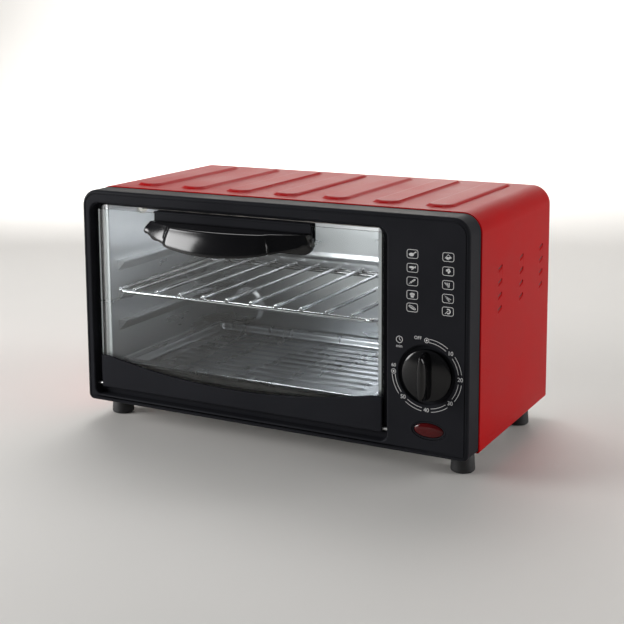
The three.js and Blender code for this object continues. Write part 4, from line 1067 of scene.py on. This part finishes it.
def picture(x, z, kind):
    """A generic food pictogram, in one of ten kinds."""
    def line(points, width, closed=False):
        stroke([(x + u, z + v) for u, v in points], width, closed)

    def patch(points):
        blot([(x + u, z + v) for u, v in points])

    if kind == 0:  # drumstick
        patch(oval(-0.9, -0.5, 4.2, 2.6, 20))
        line([(0.6, 0.1), (2.6, 1.6)], 0.7)
        patch(oval(2.7, 1.5, 1.1, 1.1, 12))
    elif kind == 1:  # fish
        patch(oval(-0.5, 0.4, 4.6, 1.7, 20))
        patch([(1.2, 0.4), (2.9, 1.8), (2.6, -0.2)])
        line([(-0.8, -1.5), (1.2, -0.2)], 0.6)
    elif kind == 2:  # skewer
        line([(-2.8, -2.0), (2.6, 1.9)], 0.4)
        for shift in (-1.0, 0.4, 1.7):
            patch(oval(shift, 0.72 * shift, 1.7, 1.5, 14))
    elif kind == 3:  # muffin
        patch(oval(0, 0.4, 4.2, 2.4, 20))
        patch([(-1.6, 0), (-1.1, -2.1), (1.1, -2.1), (1.6, 0)])
    elif kind == 4:  # bread roll
        slanted = [(2.7 * c - 0.5 * s, -1.3 * c * 0.8 + 1.2 * s) for c, s in ring_of(20)]
        line(slanted, 0.45, closed=True)
        line([(-1.6, 0.6), (1.4, -0.9)], 0.5)
    elif kind == 5:  # toast slices
        line([(-2.6, -0.8), (0, 1.9), (2.6, -0.4), (-0.2, -1.9)], 0.5, True)
        patch(oval(-0.6, -0.7, 2.6, 1.5, 16))
        patch(oval(1.2, -0.4, 2.0, 1.4, 16))
    elif kind == 6:  # vegetable
        for dx, dz in ((-0.9, 0.8), (0.5, 1.4), (1.2, 0.1), (0.4, -0.9)):
            patch(oval(dx, dz, 1.7, 1.5, 14))
        line([(-1.9, 0.2), (0.2, -0.2)], 0.5)
    elif kind == 7:  # fries
        for lean in (-0.9, -0.2, 0.6):
            line([(0.7 + lean * 0.3, -1.9), (-0.6 + lean * 2.4, 1.7)], 0.7)
        line([(-2.0, 0.4), (0.6, -1.5)], 0.6)
    elif kind == 8:  # pizza slice
        line([(-2.8, 2.0), (2.6, -0.6), (0.9, -2.1)], 0.5, True)
        line([(-1.0, 0.6), (1.2, -1.0)], 0.45)
    else:  # prawn
        line(arc(0.2, 0, 1.7, -120, 120, 12), 0.9)
        line([(-2.2, -2.0), (0.4, 0.6)], 0.45)


def ring_of(steps):
    return [(math.cos(2 * math.pi * i / steps), math.sin(2 * math.pi * i / steps))
            for i in range(steps)]


ARC_RADII = (26.3, 28.9)
NUMBER_RADIUS = 27.6


def dial_print():
    """Minute scale, 60 minutes over three quarters of a turn, clockwise from the top."""
    cx, cz = KNOB_AXIS
    marks = {"10": 45, "20": 90, "30": 135, "40": 180, "50": 225}
    gap = 8.0
    stops = [4.5] + [a + s * gap for a in marks.values() for s in (-1, 1)] + [265.5]
    for start, end in zip(stops[::2], stops[1::2]):
        for radius in ARC_RADII:
            stroke(arc(cx, cz, radius, 90 - start, 90 - end, 16), 0.38)
    for text, angle in marks.items():
        a = math.radians(90 - angle)
        word(text, cx + NUMBER_RADIUS * math.cos(a), cz + NUMBER_RADIUS * math.sin(a), 4.6)
    for angle in (0, 270):
        a = math.radians(90 - angle)
        x, z = cx + NUMBER_RADIUS * math.cos(a), cz + NUMBER_RADIUS * math.sin(a)
        stroke(oval(x, z, 3.6, 3.6, 24), 0.4, closed=True)
        blot(oval(x, z, 1.5, 1.5, 16))
    word("OFF", cx - 7.3, cz + NUMBER_RADIUS + 1.2, 3.6)
    word("60", cx - NUMBER_RADIUS + 0.1, cz + 4.9, 3.9)
    clock_x, clock_z = cx - 22.8, cz + 25.8
    stroke(oval(clock_x, clock_z, 5.2, 5.2, 28), 0.45, closed=True)
    stroke([(clock_x, clock_z + 1.7), (clock_x, clock_z), (clock_x + 1.3, clock_z - 0.6)], 0.4)
    word("min", clock_x - 0.1, clock_z - 5.2, 3.6)


def panel_prints():
    for column, x in enumerate(ICON_COLUMNS):
        for row, z in enumerate(ICON_ROWS):
            icon_frame(x, z)
            picture(x, z, column * len(ICON_ROWS) + row)
    dial_print()
    piece("panel_print", merged(prints), "oven", "white_plastic", look=PRINT, sharp=30)


# ------ feet
def foot(node):
    place = edges(node)
    radius = place.width / 2
    neck_top = place.z1
    body_top = neck_top - 1.3
    profile = [(0, 1.2), (3.4, 1.2), (3.6, 0.4), (4.2, 0), (radius - 2, 0)]
    profile += arc(radius - 2, 2, 2, -90, 0, 6)
    profile += [(radius - 0.5, body_top * 0.55), (radius - 1.0, body_top - 1)]
    profile += [(radius - 1.6, body_top - 0.2), (radius - 2.6, body_top)]
    profile += [(6, body_top), (6, neck_top), (0, neck_top)]
    skin = turned(profile, (place.x, place.y), axis="Z", steps=48)
    piece(node.replace("foot", "rubber_foot"), skin, "oven", "black_rubber", [node], sharp=50)


# ------ rack, tray and elements
rack = edges("wire_rack")
tray = edges("baking_tray")
RACK_WIRE = 1.7
RACK_RODS = 10
RACK_ROD_PITCH = 23.6
RACK_CORNER = 9
RACK_LIFT = 2.7
RACK_BRACE_GAP = 10


def wire_rack():
    low = rack.z0 + RACK_WIRE
    high = low + RACK_LIFT
    x0, x1 = rack.x0 + RACK_WIRE, rack.x1 - RACK_WIRE
    y0, y1 = rack.y0 + RACK_WIRE, rack.y1 - RACK_WIRE - 0.6
    shapes = []
    rim = rounded_rectangle(x0, x1, y0, y1, RACK_CORNER, steps=6)
    shapes.append(wire([(x, y, low) for x, y in rim], RACK_WIRE, closed=True))
    brace = y1 - RACK_BRACE_GAP
    shapes.append(wire([(x0 + 0.5, brace, low), (x1 - 0.5, brace, low)], RACK_WIRE))
    for i in range(RACK_RODS):
        x = rack.x + (i - (RACK_RODS - 1) / 2) * RACK_ROD_PITCH
        run = [(x, y0 - 0.2, high), (x, y0 + 12, high), (x, y1 - 6, high), (x, y1 + 0.3, high)]
        shapes.append(wire(run, RACK_WIRE))
    piece("rack_wires", merged(shapes), "rack", "chrome_wire", ["wire_rack"], sharp=60)


TRAY_CORNER = 14
TRAY_RIM = 9
TRAY_WALL_RUN = 3.2
TRAY_RIBS = 10
TRAY_RIB_PITCH = 13.4
TRAY_RIB_HALF_LENGTH = 97.5
TRAY_GAUGE = 0.8


def rounded_corner(u, v, half_u, half_v, radius):
    """Bends a rectangle's corner squares into quarter discs, so that a grid follows the outline."""
    over_u, over_v = abs(u) - (half_u - radius), abs(v) - (half_v - radius)
    if over_u <= 0 or over_v <= 0:
        return u, v
    reach = max(over_u, over_v)
    angle = math.atan2(over_v, over_u)
    return (
        math.copysign(half_u - radius + reach * math.cos(angle), u),
        math.copysign(half_v - radius + reach * math.sin(angle), v),
    )


def inside_distance(u, v, half_u, half_v, radius):
    over_u, over_v = abs(u) - (half_u - radius), abs(v) - (half_v - radius)
    outside = math.hypot(max(over_u, 0), max(over_v, 0)) + min(max(over_u, over_v), 0)
    return radius - outside


def baking_tray():
    half_x, half_y = tray.width / 2, tray.depth / 2
    rim_z = tray.z1
    floor_z = tray.z0 + TRAY_GAUGE + 0.2

    def height(u, v):
        inside = inside_distance(u, v, half_x, half_y, TRAY_CORNER)
        if inside < 1.2:
            return rim_z - 1.5 * (1 - smoothstep(0.5 + inside / 2.4))
        wall = (inside - TRAY_RIM) / TRAY_WALL_RUN
        z = rim_z + (floor_z - rim_z) * smoothstep(wall)
        row = round(v / TRAY_RIB_PITCH - 0.5) + 0.5
        row = min((TRAY_RIBS - 1) / 2, max(-(TRAY_RIBS - 1) / 2, row))
        off = math.hypot(max(0, abs(u) - TRAY_RIB_HALF_LENGTH), v - row * TRAY_RIB_PITCH)
        return z + 1.3 * smoothstep((2.6 - off) / 2.4)

    border = [0, 0.6, 1.2, 2.5, 5, 8, 9, 9.6, 10.2, 10.8, 11.4, 12.2, 14, 17]
    us = border + steps_between(19, 2 * half_x - 19, 3) + [2 * half_x - b for b in reversed(border)]
    vs = border + steps_between(19, 2 * half_y - 19, 0.9) + [2 * half_y - b for b in reversed(border)]

    def place(u, v):
        u, v = rounded_corner(u - half_x, v - half_y, half_x, half_y, TRAY_CORNER)
        return (tray.x + u, tray.y + v, height(u, v))

    obj = piece("tray_pan", sheet_grid(us, vs, place), "tray", "tray_steel", ["baking_tray"], sharp=60)
    thicken(obj, TRAY_GAUGE)
    bake(obj)
    smooth(obj, 60)


def elements():
    """Four sheathed rods with stepped terminal ends."""
    for row in ("upper", "lower"):
        for end in ("front", "rear"):
            node = f"element_{row}_{end}"
            rod = edges(node)
            radius = rod.height / 2
            stub = 9
            profile = [(0, rod.x0), (1.4, rod.x0), (1.6, rod.x0 + 0.3), (1.6, rod.x0 + stub - 1)]
            profile += [(radius - 0.4, rod.x0 + stub - 0.6), (radius, rod.x0 + stub)]
            profile += [(radius, x) for x in steps_between(rod.x0 + stub, rod.x1 - stub, 30)[1:]]
            profile += [(radius - 0.4, rod.x1 - stub + 0.6), (1.6, rod.x1 - stub + 1)]
            profile += [(1.6, rod.x1 - 0.3), (1.4, rod.x1), (0, rod.x1)]
            skin = turned(profile, (rod.y, rod.z), axis="X", steps=24)
            piece(f"{node}_rod", skin, "oven", "element_steel", [node], sharp=40)


# ------ cavity
back = edges("cavity_back_wall")
BACK_BOSS = SimpleNamespace(x=-122.5, z=70.4, radius=17, rise=2.4)
BACK_RIDGE = SimpleNamespace(z=127, half=3.2, rise=1.6, margin=10)
BACK_SHEET = 0.8


def cavity_back_wall():
    """The pressed back wall, with a stiffening ridge and a round boss."""
    face = back.y1 - 1

    def rise(x, z):
        boss = BACK_BOSS.radius - math.hypot(x - BACK_BOSS.x, z - BACK_BOSS.z)
        height = BACK_BOSS.rise * smoothstep(boss / 2.5)
        across = smoothstep((BACK_RIDGE.half - abs(z - BACK_RIDGE.z)) / 3)
        end = smoothstep((min(x - back.x0, back.x1 - x) - BACK_RIDGE.margin) / 6)
        return max(height, BACK_RIDGE.rise * across * end)

    columns = steps_between(back.x0, back.x1, 2)
    rows = steps_between(back.z0, back.z1, 1.6)
    skin = sheet_grid(columns, rows, lambda x, z: (x, face - rise(x, z), z))
    obj = piece("back_wall_sheet", skin, "oven", "plated_steel", ["cavity_back_wall"], look=BACK_STEEL_SHADE_PAINTED)
    thicken(obj, BACK_SHEET)
    bake(obj)
    smooth(obj, 50)


def soften(node, slot, width=0.3, segments=2, look=None):
    """A CAD node shown as it is, in its finish and with its sharp edges eased."""
    obj = frame["nodes"][node]
    obj.data.materials.clear()
    obj.data.materials.append(look or LOOKS[slot])
    weld = obj.modifiers.new("weld", "WELD")
    weld.merge_threshold = 1e-6
    flats = obj.modifiers.new("flats", "DECIMATE")
    flats.decimate_type = "DISSOLVE"
    flats.angle_limit = math.radians(0.5)
    add_bevel(obj, width, segments)


CARRIED_OVER = {
    "plated_steel": ["cavity_front_ring", "cavity_roof", "base_plate", "rear_panel"],
    "zinc_steel": ["hinge_pin_left", "hinge_pin_right", "timer_shaft", "timer_body"],
    "black_rubber": ["cord_gland"],
    "bell_brass": ["timer_bell"],
    "white_plastic": ["terminal_block"],
    "black_plastic": ["indicator_lamp"],
    "lead_sleeve": ["thermal_fuse", "lead_timer", "lead_upper_elements", "lead_lower_elements"],
    "white_ceramic": [node for node in frame["nodes"] if node.startswith("insulator_")],
}
for slot, nodes in CARRIED_OVER.items():
    for node in nodes:
        soften(node, slot)
soften("cavity_left_wall", "plated_steel", look=SIDE_STEEL_SHADE_PAINTED)
soften("cavity_right_wall", "plated_steel", look=SIDE_STEEL_SHADE_PAINTED)
soften("cavity_floor", "plated_steel", look=FLOOR_STEEL_SHADE_PAINTED)
for node in frame["nodes"]:
    if "_screw_" in node:
        soften(node, "zinc_steel", 0.2)

front_frame()
dial_dish()
outer_casing()
louvre_painted_shadows()
door_glass()
door_trim()
door_bracket()
door_handle()
handle_feet()
handle_bosses()
timer_knob()
indicator()
panel_prints()
for row in ("front", "rear"):
    for side in ("left", "right"):
        foot(f"foot_{row}_{side}")
wire_rack()
baking_tray()
elements()
cavity_back_wall()


# ------ studio
CAVITY_NAMES = ("cavity_", "back_wall", "element_", "insulator_", "rack_", "tray_")


def studio_floor():
    """A pale sweep: a wide floor that bends up far behind the oven."""
    profile = [(-2600, 0)]
    profile += [(y, 0) for y in steps_between(-2000, 1600, 400)]
    profile += [(1600 + 900 * math.sin(a), 900 * (1 - math.cos(a)))
                for a in (math.radians(7.5 * i) for i in range(1, 13))]
    profile.append((2500, 3200))
    rings = [[(x, y, z) for y, z in profile] for x in steps_between(-3500, 3500, 700)]
    verts, faces = loft(rings, caps=False, around=False)
    mesh = bpy.data.meshes.new("floor")
    mesh.from_pydata([tuple(MM * c for c in v) for v in verts], [], faces)
    mesh.shade_smooth()
    obj = bpy.data.objects.new("floor", mesh)
    scene.collection.objects.link(obj)
    obj.data.materials.append(finish(
        "floor_paint", (0.68, 0.66, 0.63), (0.72, 0.70, 0.67), (0.60, 0.70), patch=2, grain=60,
        bump=0.02,
    ))


def soft_light(name, place, target, width, height, power, colour=(1, 1, 1)):
    data = bpy.data.lights.new(name, "AREA")
    data.shape = "RECTANGLE"
    data.size = width
    data.size_y = height
    data.energy = power
    data.color = colour
    obj = bpy.data.objects.new(name, data)
    scene.collection.objects.link(obj)
    obj.location = place
    aim = Vector(target) - Vector(place)
    obj.rotation_mode = "QUATERNION"
    obj.rotation_quaternion = aim.to_track_quat("-Z", "Y")
    return obj


cavity_pieces = bpy.data.collections.new("cavity_pieces")
for obj in scene.objects:
    if obj.name.startswith(CAVITY_NAMES):
        cavity_pieces.objects.link(obj)

studio_floor()
oven_middle = (0, 0, 0.1)
handle_middle = Vector((handle.x, handle.y, handle.z)) * MM
soft_light("overhead", (-0.5, 0.9, 1.7), oven_middle, 1.5, 0.9, 17)
soft_light("key_left", (-1.19, -0.76, 0.42), handle_middle, 0.82, 0.58, 21)
soft_light("fill_right", (1.6, 0.5, 0.5), oven_middle, 1.0, 0.8, 15)
cavity_fill = soft_light("cavity_fill", (0.15, -1.15, 1.3), (-0.03, 0, 0.13), 0.6, 0.4, 20)
cavity_fill.light_linking.receiver_collection = cavity_pieces
cavity_glow = soft_light("cavity_glow", (0.0, -0.046, 0.182), (-0.02, 0.1, 0.09), 0.2, 0.02, 0.26)
cavity_glow.light_linking.receiver_collection = cavity_pieces
cavity_glow.visible_camera = False
soft_light("backdrop", (-0.9, 1.1, 1.3), (-1.6, 2.6, 0.6), 1.2, 0.8, 70)
world = bpy.data.worlds.new("studio")
world.use_nodes = True
background = world.node_tree.nodes["Background"]
background.inputs["Color"].default_value = (0.85, 0.88, 0.93, 1)
background.inputs["Strength"].default_value = 0.12
scene.world = world
scene.view_settings.view_transform = "Standard"
